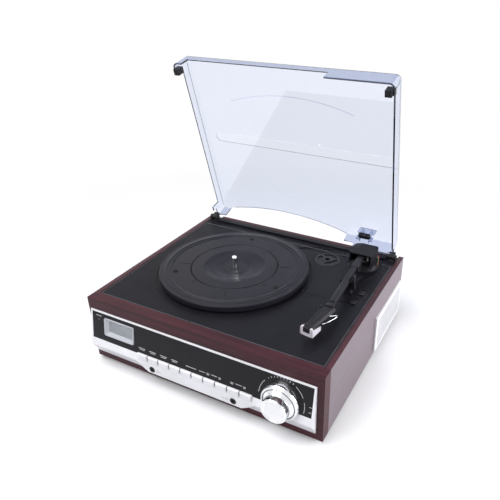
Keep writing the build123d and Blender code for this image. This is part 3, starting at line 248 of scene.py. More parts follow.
def sector(name, radius, width, start, stop, thick=0.06):
    """A flat ring segment in the XY plane, spun clockwise from stop to start, in degrees."""
    put_down()
    middle = Vector((radius * MM, 0, 0))
    bpy.ops.mesh.primitive_plane_add(size=1, location=middle)
    piece = bpy.context.object
    piece.name = name
    piece.scale = (width * MM, 0.0, 1.0)
    seat(piece)
    pick(piece, "EDGE", lambda edge: True)
    bpy.ops.mesh.remove_doubles(threshold=0.00001)
    bpy.ops.mesh.select_all(action="SELECT")
    steps = max(4, int(abs(stop - start) / 4))
    bpy.ops.mesh.spin(steps=steps, angle=math.radians(stop - start), center=(0, 0, 0),
                      axis=(0, 0, 1))
    bpy.ops.mesh.select_all(action="SELECT")
    bpy.ops.mesh.remove_doubles(threshold=0.000001)
    bpy.ops.mesh.select_all(action="SELECT")
    bpy.ops.mesh.normals_make_consistent(inside=False)
    put_down()
    moved(piece, Matrix.Rotation(math.radians(stop), 4, "Z"))
    solid = piece.modifiers.new("thickness", "SOLIDIFY")
    solid.thickness = thick * MM
    solid.offset = 0
    take(piece)
    bpy.ops.object.modifier_apply(modifier=solid.name)
    return piece


def bar(name, width, height, thick=0.06):
    """A flat printed bar in the XY plane."""
    low = Vector((-width / 2, -height / 2, -thick / 2)) * MM
    return block(name, low, -low)


def numeral(name, text, size):
    """A plain number lying in the XY plane, made a mesh."""
    put_down()
    bpy.ops.object.text_add()
    piece = bpy.context.object
    piece.name = name
    piece.data.body = text
    piece.data.size = size * MM
    piece.data.align_x = "CENTER"
    piece.data.align_y = "CENTER"
    piece.data.extrude = 0.03 * MM
    bpy.ops.object.convert(target="MESH")
    return seat(bpy.context.object)


def dress(piece, material, body):
    """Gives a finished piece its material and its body."""
    piece.data.materials.clear()
    piece.data.materials.append(material)
    take(piece)
    bpy.ops.object.shade_smooth_by_angle(angle=math.radians(35))
    put_down()
    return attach(piece, body)


# Surface effects that several finishes share


def new_effect(name, inputs, outputs):
    """An empty node group with named inputs and outputs, and its two end nodes."""
    group = bpy.data.node_groups.new(name, "ShaderNodeTree")
    for label, kind, value in inputs:
        socket = group.interface.new_socket(name=label, in_out="INPUT", socket_type=kind)
        if value is not None:
            socket.default_value = value
    for label, kind in outputs:
        group.interface.new_socket(name=label, in_out="OUTPUT", socket_type=kind)
    entry = group.nodes.new("NodeGroupInput")
    exit_node = group.nodes.new("NodeGroupOutput")
    return group, entry, exit_node


def noise(tree, vector, scale, detail=3.0, rough=0.5):
    """Cloudy noise over a vector."""
    node = tree.nodes.new("ShaderNodeTexNoise")
    node.inputs["Scale"].default_value = scale
    node.inputs["Detail"].default_value = detail
    node.inputs["Roughness"].default_value = rough
    tree.links.new(vector, node.inputs["Vector"])
    return node.outputs["Fac"]


def levels(tree, value, low, high, out_low=0.0, out_high=1.0):
    """A value spread from one range to another, and held at its ends."""
    node = tree.nodes.new("ShaderNodeMapRange")
    node.inputs["From Min"].default_value = low
    node.inputs["From Max"].default_value = high
    node.inputs["To Min"].default_value = out_low
    node.inputs["To Max"].default_value = out_high
    tree.links.new(value, node.inputs["Value"])
    return node.outputs["Result"]


def sums(tree, kind, first, second):
    """Two values, either of them a socket or a number, put through a math node."""
    node = tree.nodes.new("ShaderNodeMath")
    node.operation = kind
    for socket, value in zip(node.inputs, (first, second)):
        if isinstance(value, (int, float)):
            socket.default_value = value
        else:
            tree.links.new(value, socket)
    return node.outputs["Value"]


def stretched(tree, vector, scale):
    """A vector scaled along each axis, for a pattern that runs one way."""
    node = tree.nodes.new("ShaderNodeMapping")
    node.inputs["Scale"].default_value = scale
    tree.links.new(vector, node.inputs["Vector"])
    return node.outputs["Vector"]


def vector_math(tree, kind, first, second=None):
    """A vector put through a math node, against a fixed second one where it needs one."""
    node = tree.nodes.new("ShaderNodeVectorMath")
    node.operation = kind
    if second is not None:
        node.inputs[1].default_value = second
    tree.links.new(first, node.inputs[0])
    return node.outputs["Value" if kind in ("DOT_PRODUCT", "LENGTH") else "Vector"]


def facing(tree, direction):
    """How squarely a surface faces a direction."""
    normal = tree.nodes.new("ShaderNodeNewGeometry").outputs["True Normal"]
    return vector_math(tree, "DOT_PRODUCT", normal, direction)


def mixed(tree, mask, first, second):
    """Two shaders, the second one where a mask is light."""
    node = tree.nodes.new("ShaderNodeMixShader")
    tree.links.new(mask, node.inputs["Fac"])
    tree.links.new(first, node.inputs[1])
    tree.links.new(second, node.inputs[2])
    return node.outputs["Shader"]


def seen_rays(tree):
    """The rays that show a surface: to the camera, in a gloss or through something clear."""
    path = tree.nodes.new("ShaderNodeLightPath")
    seen = sums(tree, "MAXIMUM", path.outputs["Is Camera Ray"], path.outputs["Is Glossy Ray"])
    return sums(tree, "MAXIMUM", seen, path.outputs["Is Transmission Ray"])


def wood_grain_effect():
    """Straight grain for printed foil: a tone that runs in bands, and short dark pores."""
    group, entry, out = new_effect(
        "straight_grain",
        [("Vector", "NodeSocketVector", None)],
        [("Tone", "NodeSocketFloat"), ("Pores", "NodeSocketFloat")])
    vector = entry.outputs["Vector"]
    broad = noise(group, vector, 1.0, 4.0, 0.55)
    fine = noise(group, stretched(group, vector, (2.2, 5.0, 5.0)), 1.0, 3.0, 0.6)
    tone = sums(group, "ADD", sums(group, "MULTIPLY", broad, 0.65),
                sums(group, "MULTIPLY", fine, 0.35))
    pores = noise(group, stretched(group, vector, (7.0, 9.0, 9.0)), 1.0, 1.0, 0.5)
    group.links.new(levels(group, tone, 0.36, 0.64), out.inputs["Tone"])
    group.links.new(levels(group, pores, 0.62, 0.72), out.inputs["Pores"])
    return group


def moulding_effect():
    """Spark-eroded plastic: a fine grain height and a slow drift of tone."""
    group, entry, out = new_effect(
        "moulded_grain",
        [("Vector", "NodeSocketVector", None), ("Fineness", "NodeSocketFloat", 1800.0)],
        [("Height", "NodeSocketFloat"), ("Drift", "NodeSocketFloat")])
    cells = group.nodes.new("ShaderNodeTexVoronoi")
    cells.feature = "SMOOTH_F1"
    group.links.new(entry.outputs["Vector"], cells.inputs["Vector"])
    group.links.new(entry.outputs["Fineness"], cells.inputs["Scale"])
    drift = noise(group, entry.outputs["Vector"], 22.0, 4.0, 0.6)
    group.links.new(cells.outputs["Distance"], out.inputs["Height"])
    group.links.new(levels(group, drift, 0.3, 0.7), out.inputs["Drift"])
    return group


def handling_effect():
    """What handling leaves: soft smears and a few dust specks."""
    group, entry, out = new_effect(
        "handling",
        [("Vector", "NodeSocketVector", None)],
        [("Smear", "NodeSocketFloat"), ("Dust", "NodeSocketFloat")])
    vector = entry.outputs["Vector"]
    broad = noise(group, stretched(group, vector, (9.0, 14.0, 9.0)), 1.6, 5.0, 0.65)
    specks = group.nodes.new("ShaderNodeTexVoronoi")
    specks.inputs["Scale"].default_value = 260.0
    group.links.new(vector, specks.inputs["Vector"])
    patches = levels(group, noise(group, vector, 35.0, 2.0), 0.5, 0.62)
    near = levels(group, specks.outputs["Distance"], 0.07, 0.03)
    group.links.new(levels(group, broad, 0.4, 0.72), out.inputs["Smear"])
    group.links.new(sums(group, "MULTIPLY", near, patches), out.inputs["Dust"])
    return group


def turned_effect():
    """Fine circles left by turning, about the Z axis of the vector it is given."""
    group, entry, out = new_effect(
        "turned_rings",
        [("Vector", "NodeSocketVector", None), ("Pitch", "NodeSocketFloat", 390.0)],
        [("Rings", "NodeSocketFloat")])
    wave = group.nodes.new("ShaderNodeTexWave")
    wave.wave_type = "RINGS"
    wave.rings_direction = "Z"
    wave.inputs["Distortion"].default_value = 0.15
    wave.inputs["Detail"].default_value = 1.0
    group.links.new(entry.outputs["Vector"], wave.inputs["Vector"])
    group.links.new(entry.outputs["Pitch"], wave.inputs["Scale"])
    group.links.new(wave.outputs["Fac"], out.inputs["Rings"])
    return group


grain_effect = wood_grain_effect()
moulded = moulding_effect()
handled = handling_effect()
turned_rings = turned_effect()


class Finish:
    """A material under construction: one Principled shader and what feeds it."""

    def __init__(self, name, colour, rough, metal=0.0, edge=0.0, **plain):
        self.material = bpy.data.materials.new(name)
        self.material.use_nodes = True
        self.tree = self.material.node_tree
        self.shader = self.tree.nodes["Principled BSDF"]
        self.shader.inputs["Base Color"].default_value = (*colour, 1.0)
        self.shader.inputs["Roughness"].default_value = rough
        self.shader.inputs["Metallic"].default_value = metal
        for label, value in plain.items():
            self.shader.inputs[label.replace("_", " ")].default_value = value
        self.place = self.tree.nodes.new("ShaderNodeTexCoord").outputs["Object"]
        self.colour = colour
        self.edge = edge

    def effect(self, group, vector=None, **values):
        """Places a shared effect with its own values."""
        node = self.tree.nodes.new("ShaderNodeGroup")
        node.node_tree = group
        self.tree.links.new(vector or self.place, node.inputs["Vector"])
        for label, value in values.items():
            node.inputs[label].default_value = value
        return node.outputs

    def centred(self, point, scale=(1, 1, 1), turn=(0, 0, 0)):
        """The object's coordinates seen from a point."""
        seen_from = vector_math(self.tree, "SUBTRACT", self.place, point)
        node = self.tree.nodes.new("ShaderNodeMapping")
        node.inputs["Rotation"].default_value = turn
        node.inputs["Scale"].default_value = scale
        self.tree.links.new(seen_from, node.inputs["Vector"])
        return node.outputs["Vector"]

    def blend_colour(self, mask, other):
        """Mixes the colour so far with another where a mask is light."""
        node = self.tree.nodes.new("ShaderNodeMix")
        node.data_type = "RGBA"
        base = self.shader.inputs["Base Color"]
        if base.is_linked:
            self.tree.links.new(base.links[0].from_socket, node.inputs["A"])
        else:
            node.inputs["A"].default_value = (*self.colour, 1.0)
        node.inputs["B"].default_value = (*other, 1.0)
        self.tree.links.new(mask, node.inputs["Factor"])
        self.tree.links.new(node.outputs["Result"], base)
        return self

    def vary(self, label, mask, low, high):
        """Runs one of the shader's values between two numbers along a mask."""
        self.tree.links.new(levels(self.tree, mask, 0.0, 1.0, low, high), self.shader.inputs[label])
        return self

    def relief(self, height, depth, strength=0.4):
        """Adds relief of a depth in millimetres, over edges that catch the light."""
        bump = self.tree.nodes.new("ShaderNodeBump")
        bump.inputs["Strength"].default_value = strength
        bump.inputs["Distance"].default_value = depth * MM
        self.tree.links.new(height, bump.inputs["Height"])
        if self.edge:
            soft = self.tree.nodes.new("ShaderNodeBevel")
            soft.samples = 4
            soft.inputs["Radius"].default_value = self.edge * MM
            self.tree.links.new(soft.outputs["Normal"], bump.inputs["Normal"])
        self.tree.links.new(bump.outputs["Normal"], self.shader.inputs["Normal"])
        return self


def foil(name, along):
    """Dark mahogany print foil over board, its grain running along x or along y."""
    made = Finish(name, (0.020, 0.005, 0.008), 0.4, edge=0.5, Coat_Roughness=0.34)
    made.shader.inputs["Specular IOR Level"].default_value = 0.18 if along == "x" else 0.3
    if along == "y":
        normal = made.tree.nodes.new("ShaderNodeSeparateXYZ")
        geometry = made.tree.nodes.new("ShaderNodeNewGeometry")
        made.tree.links.new(geometry.outputs["True Normal"], normal.inputs["Vector"])
        broad_side = sums(made.tree, "ABSOLUTE", normal.outputs["X"], 0.0)
        made.vary("Coat Weight", broad_side, 0.0, 0.5)
        made.vary("Sheen Weight", broad_side, 0.0, 0.9)
    made.shader.inputs["Sheen Roughness"].default_value = 0.4
    made.shader.inputs["Sheen Tint"].default_value = (0.97, 0.86, 1.0, 1.0)
    scale = (7.0, 240.0, 240.0) if along == "x" else (240.0, 7.0, 240.0)
    grain = made.effect(grain_effect, made.centred((0, 0, 0), scale))
    made.blend_colour(grain["Tone"], (0.064, 0.014, 0.022))
    made.blend_colour(grain["Pores"], (0.010, 0.002, 0.003))
    made.vary("Roughness", grain["Tone"], 0.32, 0.44)
    return made.relief(sums(made.tree, "SUBTRACT", grain["Tone"], grain["Pores"]), 0.05).material


def plastic(name, colour, rough, fineness=1800.0, edge=0.25, depth=0.02, dust=0.10, **plain):
    """Moulded plastic with its spark-eroded grain, slow drift and handling."""
    made = Finish(name, colour, rough, edge=edge, **plain)
    skin = made.effect(moulded, Fineness=fineness)
    wear = made.effect(handled)
    lighter = tuple(min(1.0, value * 1.12 + 0.002) for value in colour)
    made.blend_colour(skin["Drift"], lighter)
    grey = tuple(value * (1 - dust) + 0.45 * dust for value in colour)
    made.blend_colour(wear["Dust"], grey)
    made.vary("Roughness", wear["Smear"], rough * 0.88, min(1.0, rough * 1.18))
    return made.relief(skin["Height"], depth).material


def metal(name, colour, rough, axis_point=None, turn=(0, 0, 0), pitch=390.0, depth=0.004):
    """Plated or bare metal, with turning rings where it has a point to turn about."""
    made = Finish(name, colour, rough, metal=1.0, edge=0.15)
    wear = made.effect(handled)
    made.blend_colour(wear["Smear"], tuple(value * 0.9 for value in colour))
    made.vary("Roughness", wear["Smear"], rough, rough * 1.5 + 0.02)
    if axis_point is None:
        fine = noise(made.tree, made.place, 900.0, 2.0)
        return made.relief(fine, depth, 0.3).material
    rings = made.effect(turned_rings, made.centred(axis_point, turn=turn), Pitch=pitch)
    # Faces that look straight out of the panel turn whiter and less metallic: partly the knob's
    # satin face, partly a painted highlight
    face = levels(made.tree, facing(made.tree, slope_out), 0.90, 0.97)
    made.vary("Metallic", face, 1.0, 0.35)
    made.blend_colour(face, (0.86, 0.86, 0.89))
    return made.relief(rings["Rings"], depth, 0.5).material


def lid_painted_shade_masks(made):
    """Masks for the painted shade on the lid's free rims, and on its walls that face forwards and
    back.
    """
    tree = made.tree
    out = lid_direction(0, 1)
    rim_height = out.dot(on_lid(0, 0, 1.9))
    height = vector_math(tree, "DOT_PRODUCT", made.place, out)
    rim = sums(tree, "LESS_THAN", height, rim_height)
    along = sums(tree, "ABSOLUTE", facing(tree, lid_direction(1, 0)), 0.0)
    return rim, sums(tree, "GREATER_THAN", along, 0.8)


def clear_lid_finish():
    """Smoke-blue clear acrylic, tinted through its thickness, with painted shade on its rims and
    end walls.
    """
    made = Finish("clear_blue_acrylic", (0.86, 0.893, 0.975), 0.02, IOR=1.49,
                  Transmission_Weight=1.0)
    wear = made.effect(handled)
    made.vary("Roughness", wear["Smear"], 0.0, 0.035)
    fine = noise(made.tree, made.place, 14.0, 2.0)
    made.relief(fine, 0.4, 0.12)
    tree = made.tree
    rim, back = lid_painted_shade_masks(made)
    # Painted shade: walls that face forwards and back are tinted greyer blue, the free rims dark
    # blue
    made.blend_colour(back, (0.55, 0.60, 0.74))
    made.blend_colour(rim, (0.16, 0.20, 0.33))
    output = tree.nodes["Material Output"]
    tint = tree.nodes.new("ShaderNodeVolumeAbsorption")
    tint.inputs["Color"].default_value = (0.2, 0.28, 0.62, 1.0)
    tint.inputs["Density"].default_value = 40.0
    tree.links.new(tint.outputs["Volume"], output.inputs["Volume"])
    path = tree.nodes.new("ShaderNodeLightPath")
    clear = tree.nodes.new("ShaderNodeBsdfTransparent")
    clear.inputs["Color"].default_value = (0.82, 0.85, 0.93, 1.0)
    surface = mixed(tree, path.outputs["Is Shadow Ray"], made.shader.outputs["BSDF"],
                    clear.outputs["BSDF"])
    tree.links.new(surface, output.inputs["Surface"])
    return made.material


# Radii on the platter's top, the slopes in pairs from where one starts to where it ends
groove_radius = 59.2
hub_step = (22.0, 25.0)
dish_slope = (34.0, 43.0)
lip_rise = (85.0, 88.0)
lip_fall = (97.0, 93.0)
marks_band = (60.8, 79.5)
marks_flat = (61.0, 78.0)
# Near-black painted shade for the platter's groove and for its sunk radial marks
painted_recess_shade = (0.001, 0.001, 0.001)


def platter_flat():
    """The height of the platter's flat, where its radial marks are cut."""
    heights = []
    for vertex in frame["nodes"]["platter"].data.vertices:
        reach = math.hypot(vertex.co.x - platter_centre.x, vertex.co.y - platter_centre.y) / MM
        if marks_flat[0] < reach < marks_flat[1]:
            heights.append(vertex.co.z)
    return max(heights)


def platter_finish():
    """Satin black platter: fine rings, a groove and sunk marks in painted shade, and its lip and
    dish slopes.
    """
    made = Finish("platter_satin_black", (0.013, 0.013, 0.018), 0.34, Specular_IOR_Level=0.15)
    tree = made.tree
    centred = made.centred(platter_centre)
    rings = made.effect(turned_rings, centred, Pitch=330.0)
    wear = made.effect(handled)
    radius = vector_math(tree, "LENGTH",
                         vector_math(tree, "MULTIPLY", centred, (1000.0, 1000.0, 0.0)))
    off_groove = sums(tree, "ABSOLUTE", sums(tree, "SUBTRACT", radius, groove_radius), 0.0)
    groove = levels(tree, off_groove, 1.3, 0.7)
    dish = levels(tree, radius, *dish_slope)
    lip = sums(tree, "MULTIPLY", levels(tree, radius, *lip_rise), levels(tree, radius, *lip_fall))
    step = levels(tree, radius, *hub_step)
    profile = sums(tree, "ADD", sums(tree, "MULTIPLY", dish, 1.6), sums(tree, "MULTIPLY", lip, 1.1))
    profile = sums(tree, "ADD", profile, sums(tree, "MULTIPLY", step, 0.6))
    profile = sums(tree, "SUBTRACT", profile, groove)
    made.blend_colour(wear["Dust"], (0.07, 0.07, 0.08))
    # Painted shade: the groove is painted near-black
    made.blend_colour(groove, painted_recess_shade)
    height = tree.nodes.new("ShaderNodeSeparateXYZ")
    tree.links.new(made.place, height.inputs["Vector"])
    sunk = sums(tree, "LESS_THAN", height.outputs["Z"], platter_flat() - 0.08 * MM)
    band = sums(tree, "MULTIPLY", sums(tree, "GREATER_THAN", radius, marks_band[0]),
                sums(tree, "LESS_THAN", radius, marks_band[1]))
    # Painted shade: the radial marks sunk below the flat are painted near-black
    made.blend_colour(sums(tree, "MULTIPLY", sunk, band), painted_recess_shade)
    made.vary("Roughness", wear["Smear"], 0.28, 0.40)
    fine = sums(tree, "MULTIPLY", rings["Rings"], 0.02)
    return made.relief(sums(tree, "ADD", profile, fine), 1.0, 0.8).material


def display_finish():
    """The liquid-crystal panel behind the window: grey-green with a faint cell pattern."""
    made = Finish("display_cell", (0.36, 0.385, 0.42), 0.45)
    cells = made.centred((0, 0, 0), (900.0, 900.0, 900.0))
    fine = noise(made.tree, cells, 1.0, 2.0)
    drift = noise(made.tree, made.place, 40.0, 2.0)
    made.blend_colour(levels(made.tree, drift, 0.35, 0.65), (0.42, 0.45, 0.49))
    made.blend_colour(levels(made.tree, fine, 0.5, 0.8), (0.32, 0.345, 0.37))
    return made.relief(fine, 0.01, 0.2).material


def window_finish():
    """The clear window over the display, slightly smeared."""
    made = Finish("display_window_clear", (0.93, 0.96, 0.97), 0.03, IOR=1.49,
                  Transmission_Weight=1.0)
    wear = made.effect(handled)
    made.vary("Roughness", wear["Smear"], 0.01, 0.06)
    return made.material


def gloss_panel_finish():
    """Screen-printed clear panel, gloss black from behind."""
    made = Finish("panel_gloss_black", (0.009, 0.009, 0.011), 0.16, edge=0.2,
                  Specular_IOR_Level=0.15)
    wear = made.effect(handled)
    made.blend_colour(wear["Smear"], (0.012, 0.012, 0.015))
    made.blend_colour(wear["Dust"], (0.07, 0.07, 0.08))
    made.vary("Roughness", wear["Smear"], 0.14, 0.26)
    return made.relief(wear["Smear"], 0.01, 0.1).material


def fibre_finish(name, colour, scale, rough=0.85):
    """Pressed fibre, for the base board and the speaker cones."""
    made = Finish(name, colour, rough)
    lying = stretched(made.tree, made.place, (scale, scale * 3, scale))
    strands = noise(made.tree, lying, 1.0, 6.0, 0.7)
    made.blend_colour(levels(made.tree, strands, 0.4, 0.65), tuple(value * 0.7 for value in colour))
    return made.relief(strands, 0.15).material


def circuit_finish():
    """Green solder mask with copper tracks under it."""
    made = Finish("circuit_green", (0.02, 0.13, 0.05), 0.35, edge=0.1)
    tracks = made.tree.nodes.new("ShaderNodeTexBrick")
    tracks.inputs["Scale"].default_value = 210.0
    made.tree.links.new(made.place, tracks.inputs["Vector"])
    made.blend_colour(tracks.outputs["Fac"], (0.05, 0.24, 0.09))
    return made.relief(tracks.outputs["Fac"], 0.03).material


def printed_finish(name, colour):
    """Silk-screened ink, slightly uneven."""
    made = Finish(name, colour, 0.6)
    fine = noise(made.tree, made.place, 2500.0, 2.0)
    made.blend_colour(levels(made.tree, fine, 0.45, 0.7), tuple(value * 0.75 for value in colour))
    return made.relief(fine, 0.01).material


knob_axis = (math.radians(90), 0, 0)
finishes = {
    "foil_x": foil("mahogany_foil_across", "x"),
    "foil_y": foil("mahogany_foil_along", "y"),
    "raw_board": fibre_finish("raw_fibreboard", (0.28, 0.17, 0.09), 90.0),
    "foot_rubber": plastic("black_rubber", (0.005, 0.005, 0.005), 0.8, 1200.0, depth=0.04,
                           dust=0.03, Specular_IOR_Level=0.2),
    "black_plastic": plastic("deck_satin_black", (0.007, 0.007, 0.010), 0.42, 1500.0, edge=0.4,
                             depth=0.03, dust=0.05, Specular_IOR_Level=0.1),
    "white_plastic": plastic("pearl_white_plastic", (0.80, 0.80, 0.84), 0.32, 2600.0, edge=0.35,
                             depth=0.008, dust=0.03, Coat_Weight=0.2, Coat_Roughness=0.15),
    "black_gloss": gloss_panel_finish(),
    "silver_paint": plastic("silver_paint", (0.42, 0.43, 0.47), 0.33, 3200.0, edge=0.3, depth=0.006,
                            dust=0.02, Coat_Weight=0.3, Coat_Roughness=0.2),
    "display_glass": window_finish(),
    "display_grey": display_finish(),
    "lamp_red": plastic("lamp_lens_red", (0.045, 0.012, 0.012), 0.2, 2600.0, depth=0.005),
    "chrome_plate": metal("knob_chrome", (0.80, 0.81, 0.84), 0.13, knob_centre, knob_axis, 620.0,
                          0.006),
    "bright_chrome": metal("bright_chrome", (0.78, 0.79, 0.82), 0.08),
    "board_green": circuit_finish(),
    "switch_black": plastic("switch_black", (0.010, 0.010, 0.012), 0.5, 2200.0, depth=0.02,
                            Specular_IOR_Level=0.2),
    "plated_steel": metal("plated_steel", (0.56, 0.56, 0.55), 0.3),
    "cone_paper": fibre_finish("cone_paper", (0.018, 0.017, 0.016), 260.0),
    "bearing_brass": metal("bearing_brass", (0.62, 0.45, 0.20), 0.28),
    "platter_black": platter_finish(),
    "arm_black": plastic("arm_satin_black", (0.012, 0.012, 0.016), 0.3, 2400.0, edge=0.3,
                         depth=0.01, Specular_IOR_Level=0.15),
    "guard_white": plastic("stylus_guard_white", (0.62, 0.56, 0.62), 0.35, 2600.0, depth=0.01,
                           dust=0.02, Subsurface_Weight=0.1),
    "clear_lid": clear_lid_finish(),
    "edge_blue": plastic("acrylic_edge_blue", (0.40, 0.46, 0.60), 0.08, 2600.0, depth=0.003,
                         Transmission_Weight=0.7),
    # Dark blue-grey for the painted shade lines along the lid's back edge and inner corners
    "edge_shade_line": plastic("acrylic_edge_shade_line", (0.11, 0.13, 0.21), 0.3, 2600.0, depth=0.003),
    "adapter_grey": plastic("adapter_dark_grey", (0.018, 0.018, 0.022), 0.34, 1800.0,
                            Specular_IOR_Level=0.15),
    "print_white": printed_finish("panel_print_white", (0.72, 0.72, 0.75)),
    # A lighter grey than the deck: a painted highlight along the deck's rim
    "rim_painted_highlight": plastic("deck_rim_painted_highlight", (0.05, 0.05, 0.06), 0.3, 2600.0),
    "print_grey": printed_finish("deck_print_grey", (0.12, 0.12, 0.13)),
    "lead_red": plastic("lead_red", (0.42, 0.03, 0.04), 0.45, 2600.0, depth=0.005),
    "lead_green": plastic("lead_green", (0.03, 0.20, 0.09), 0.45, 2600.0, depth=0.005),
}

node_finishes = {
    "front_board": "foil_x", "rear_board": "foil_x", "left_side_board": "foil_y",
    "right_side_board": "foil_y", "base_board": "raw_board", "rubber_feet": "foot_rubber",
    "top_deck": "black_plastic", "bezel": "white_plastic", "front_panel": "black_gloss",
    "display_frame": "silver_paint", "display_window": "display_glass",
    "display_unit": "display_grey", "power_lamp": "lamp_red", "knob_ring": "chrome_plate",
    "circuit_boards": "board_green", "controls": "switch_black", "front_jacks": "switch_black",
    "side_grilles": "white_plastic", "speaker_frames": "plated_steel",
    "speaker_cones": "cone_paper", "rear_terminals": "black_plastic",
    "screws": "plated_steel", "spindle": "bright_chrome", "spindle_bearing": "bearing_brass",
    "drive_motor": "plated_steel", "drive_belt": "foot_rubber", "tonearm_base": "black_plastic",
    "tonearm_cover": "black_plastic", "arm_rest": "black_plastic", "hinge_brackets": "switch_black",
    "platter": "platter_black", "platter_nubs": "foot_rubber", "platter_bush": "switch_black",
    "motor_pulley": "bearing_brass", "tonearm_yoke": "plated_steel", "arm_tube": "arm_black",
    "headshell": "arm_black", "finger_lift": "bright_chrome", "cartridge": "switch_black",
    "stylus_guard": "guard_white", "cue_lever": "black_plastic", "lid": "clear_lid",
    "lid_fittings": "switch_black", "volume_knob": "chrome_plate", "function_ring": "chrome_plate",
    "speed_switch": "switch_black", "stop_switch": "switch_black", "adapter_45": "adapter_grey",
}
for number in range(10):
    node_finishes["key_%d" % (number + 1)] = "white_plastic"


def finish_nodes():
    """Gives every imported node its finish."""
    for name, piece in frame["nodes"].items():
        material = finishes[node_finishes[name]]
        piece.data.materials.clear()
        piece.data.materials.append(material)


# The printed front panel

key_first = 80.3
key_pitch = 16.6
caption_z = 45.6
caption_out = 0.03


def panel_captions():
    """Rows of plain dashes over the keys, and a dash over the power lamp."""
    pieces = []
    blank = bar("caption_blank", 1.0, 0.62)

    def dash(x, z, width):
        stretch = Matrix.Diagonal((width, 1.0, 1.0, 1.0))
        place = slope_matrix(on_slope(x, z, caption_out)) @ stretch
        pieces.append(copied(blank, "caption", place))

    dash(17.5, 71.0, 8.5)
    for number in range(4):
        x = key_first + (number + 0.5) * key_pitch - 1.0
        dash(x, caption_z + 1.0, 10.4)
        dash(x, caption_z - 0.9, 7.6)
    dash(key_first + 4.9 * key_pitch, caption_z, 15.0)
    dash(key_first + 5.85 * key_pitch, caption_z, 8.0)
    for number in (6, 8):
        left = key_first + (number + 0.35) * key_pitch
        dash(left, caption_z + 0.4, 4.6)
        dash(left, caption_z - 1.2, 3.4)
        dash(left + 8.6, caption_z + 0.4, 8.0)
        dash(left + 16.4, caption_z + 0.4, 3.2)
        dash(left + 16.4, caption_z - 1.2, 3.2)
    bpy.data.objects.remove(blank)
    return joined("panel_captions", pieces)


scale_r = 28.2


def dial_scale():
    """Arcs and plain numbers round the knob."""
    centre = slope_matrix(on_slope((knob_centre.x - corner.x) / MM, (knob_centre.z - corner.z) / MM,
                                   caption_out))
    pieces = []
    for start, stop in ((140.0, 178.0), (26.0, 56.0), (-12.0, 16.0)):
        pieces.append(moved(sector("scale_arc", scale_r, 0.45, start, stop), centre))
    for step in range(9):
        angle = math.radians(128.0 - step * 8.0)
        spot = Matrix.Translation(Vector((math.cos(angle), math.sin(angle), 0)) * scale_r * MM)
        turn = Matrix.Rotation(angle - math.pi / 2, 4, "Z")
        number = numeral("scale_number", str(step + 1), 2.6)
        pieces.append(moved(number, centre @ spot @ turn))
    return joined("dial_scale", pieces)


def ring_gap_shadow():
    """A black ring of painted shade where the gap between the fixed ring and the function ring
    falls dark.
    """
    low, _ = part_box("knob_ring")
    spot = Matrix.Translation(Vector((knob_centre.x, low.y - 0.03 * MM, knob_centre.z)))
    gap = sector("ring_gap_shadow", 19.8, 0.9, 0.0, 360.0)
    return moved(gap, spot @ Matrix.Rotation(math.radians(90), 4, "X"))


def side_ticks():
    """Two short marks at the panel's right end."""
    blank = bar("tick_blank", 3.0, 0.5)
    pieces = []
    for x, z in ((317.0, 51.0), (316.6, 44.4)):
        pieces.append(copied(blank, "tick", slope_matrix(on_slope(x, z, caption_out))))
    bpy.data.objects.remove(blank)
    return joined("panel_ticks", pieces)


def jack_marks():
    """A small ring and a dash beside each front socket."""
    pieces = []
    face = Matrix.Rotation(math.radians(90), 4, "X")
    low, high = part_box("front_jacks")
    for x in (low.x + 4.2 * MM + 8.6 * MM, high.x - 4.2 * MM - 8.6 * MM):
        spot = Matrix.Translation(Vector((x, low.y + 0.62 * MM, (low.z + high.z) / 2)))
        pieces.append(moved(sector("jack_ring", 1.6, 0.35, 0.0, 360.0), spot @ face))
        dash = bar("jack_dash", 3.4, 0.35)
        side = 1 if x < 0 else -1
        pieces.append(moved(dash, spot @ Matrix.Translation((side * 4.4 * MM, 0, 0)) @ face))
    return joined("jack_marks", pieces)


def key_gaps():
    """Black plates in the openings between neighbouring keys: painted shade where the gaps fall
    dark.
    """
    strips = []
    for number in range(1, 10):
        low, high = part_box("key_%d" % number)
        after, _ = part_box("key_%d" % (number + 1))
        left = high.x + 0.12 * MM
        right = after.x - 0.12 * MM
        strips.append(block("key_gap", Vector((left, low.y + 0.5 * MM, low.z + 2.6 * MM)),
                            Vector((right, low.y + 2.5 * MM, high.z - 0.2 * MM))))
    return joined("key_gaps", strips)


# Tonearm pieces


def lift_loop():
    """The bent wire finger lift beside the headshell."""
    half = head_w / 2
    line = [(half - 1.4, -29.5, -1.2), (half + 0.8, -29.8, -1.0), (half + 3.0, -27.6, 0.0),
            (half + 6.6, -19.0, 1.0), (half + 8.4, -12.0, 1.4), (half + 7.4, -9.4, 1.4),
            (half + 4.6, -9.8, 0.8), (half + 1.8, -12.2, 0.0), (half - 1.4, -13.2, -0.4)]
    points = [head_matrix() @ (Vector(point) * MM) for point in line]
    return wire("finger_lift_loop", points, 0.36)


def tapered(name, low, high, end_scale, chamfer):
    """A block along -y in the arm's frame, its far end scaled and its long edges rounded."""
    def lengthwise(edge):
        return abs((edge.verts[0].co - edge.verts[1].co).normalized().y) > 0.9

    piece = block(name, Vector(low) * MM, Vector(high) * MM)
    resize_faces(piece, lambda face: face.normal.y < -0.9, (end_scale, 1.0, end_scale))
    return round_edges(piece, lengthwise, chamfer, 3)


def arm_sleeve():
    """The thicker sleeve on the arm just in front of its cover."""
    middle = arm_height - 0.9
    sleeve = tapered("arm_sleeve", (-5.0, -47.0, middle - 4.2), (5.0, -30.5, middle + 4.0),
                     0.94, 2.0)
    return moved(sleeve, arm_matrix())


def arm_beam():
    """The fuller front half of the arm, between its rest and its collar."""
    middle = arm_height - 2.5
    beam = tapered("arm_beam", (-4.3, -134.0, middle - 3.9), (4.3, -84.0, middle + 3.9), 1.0, 2.2)
    return moved(beam, arm_matrix())


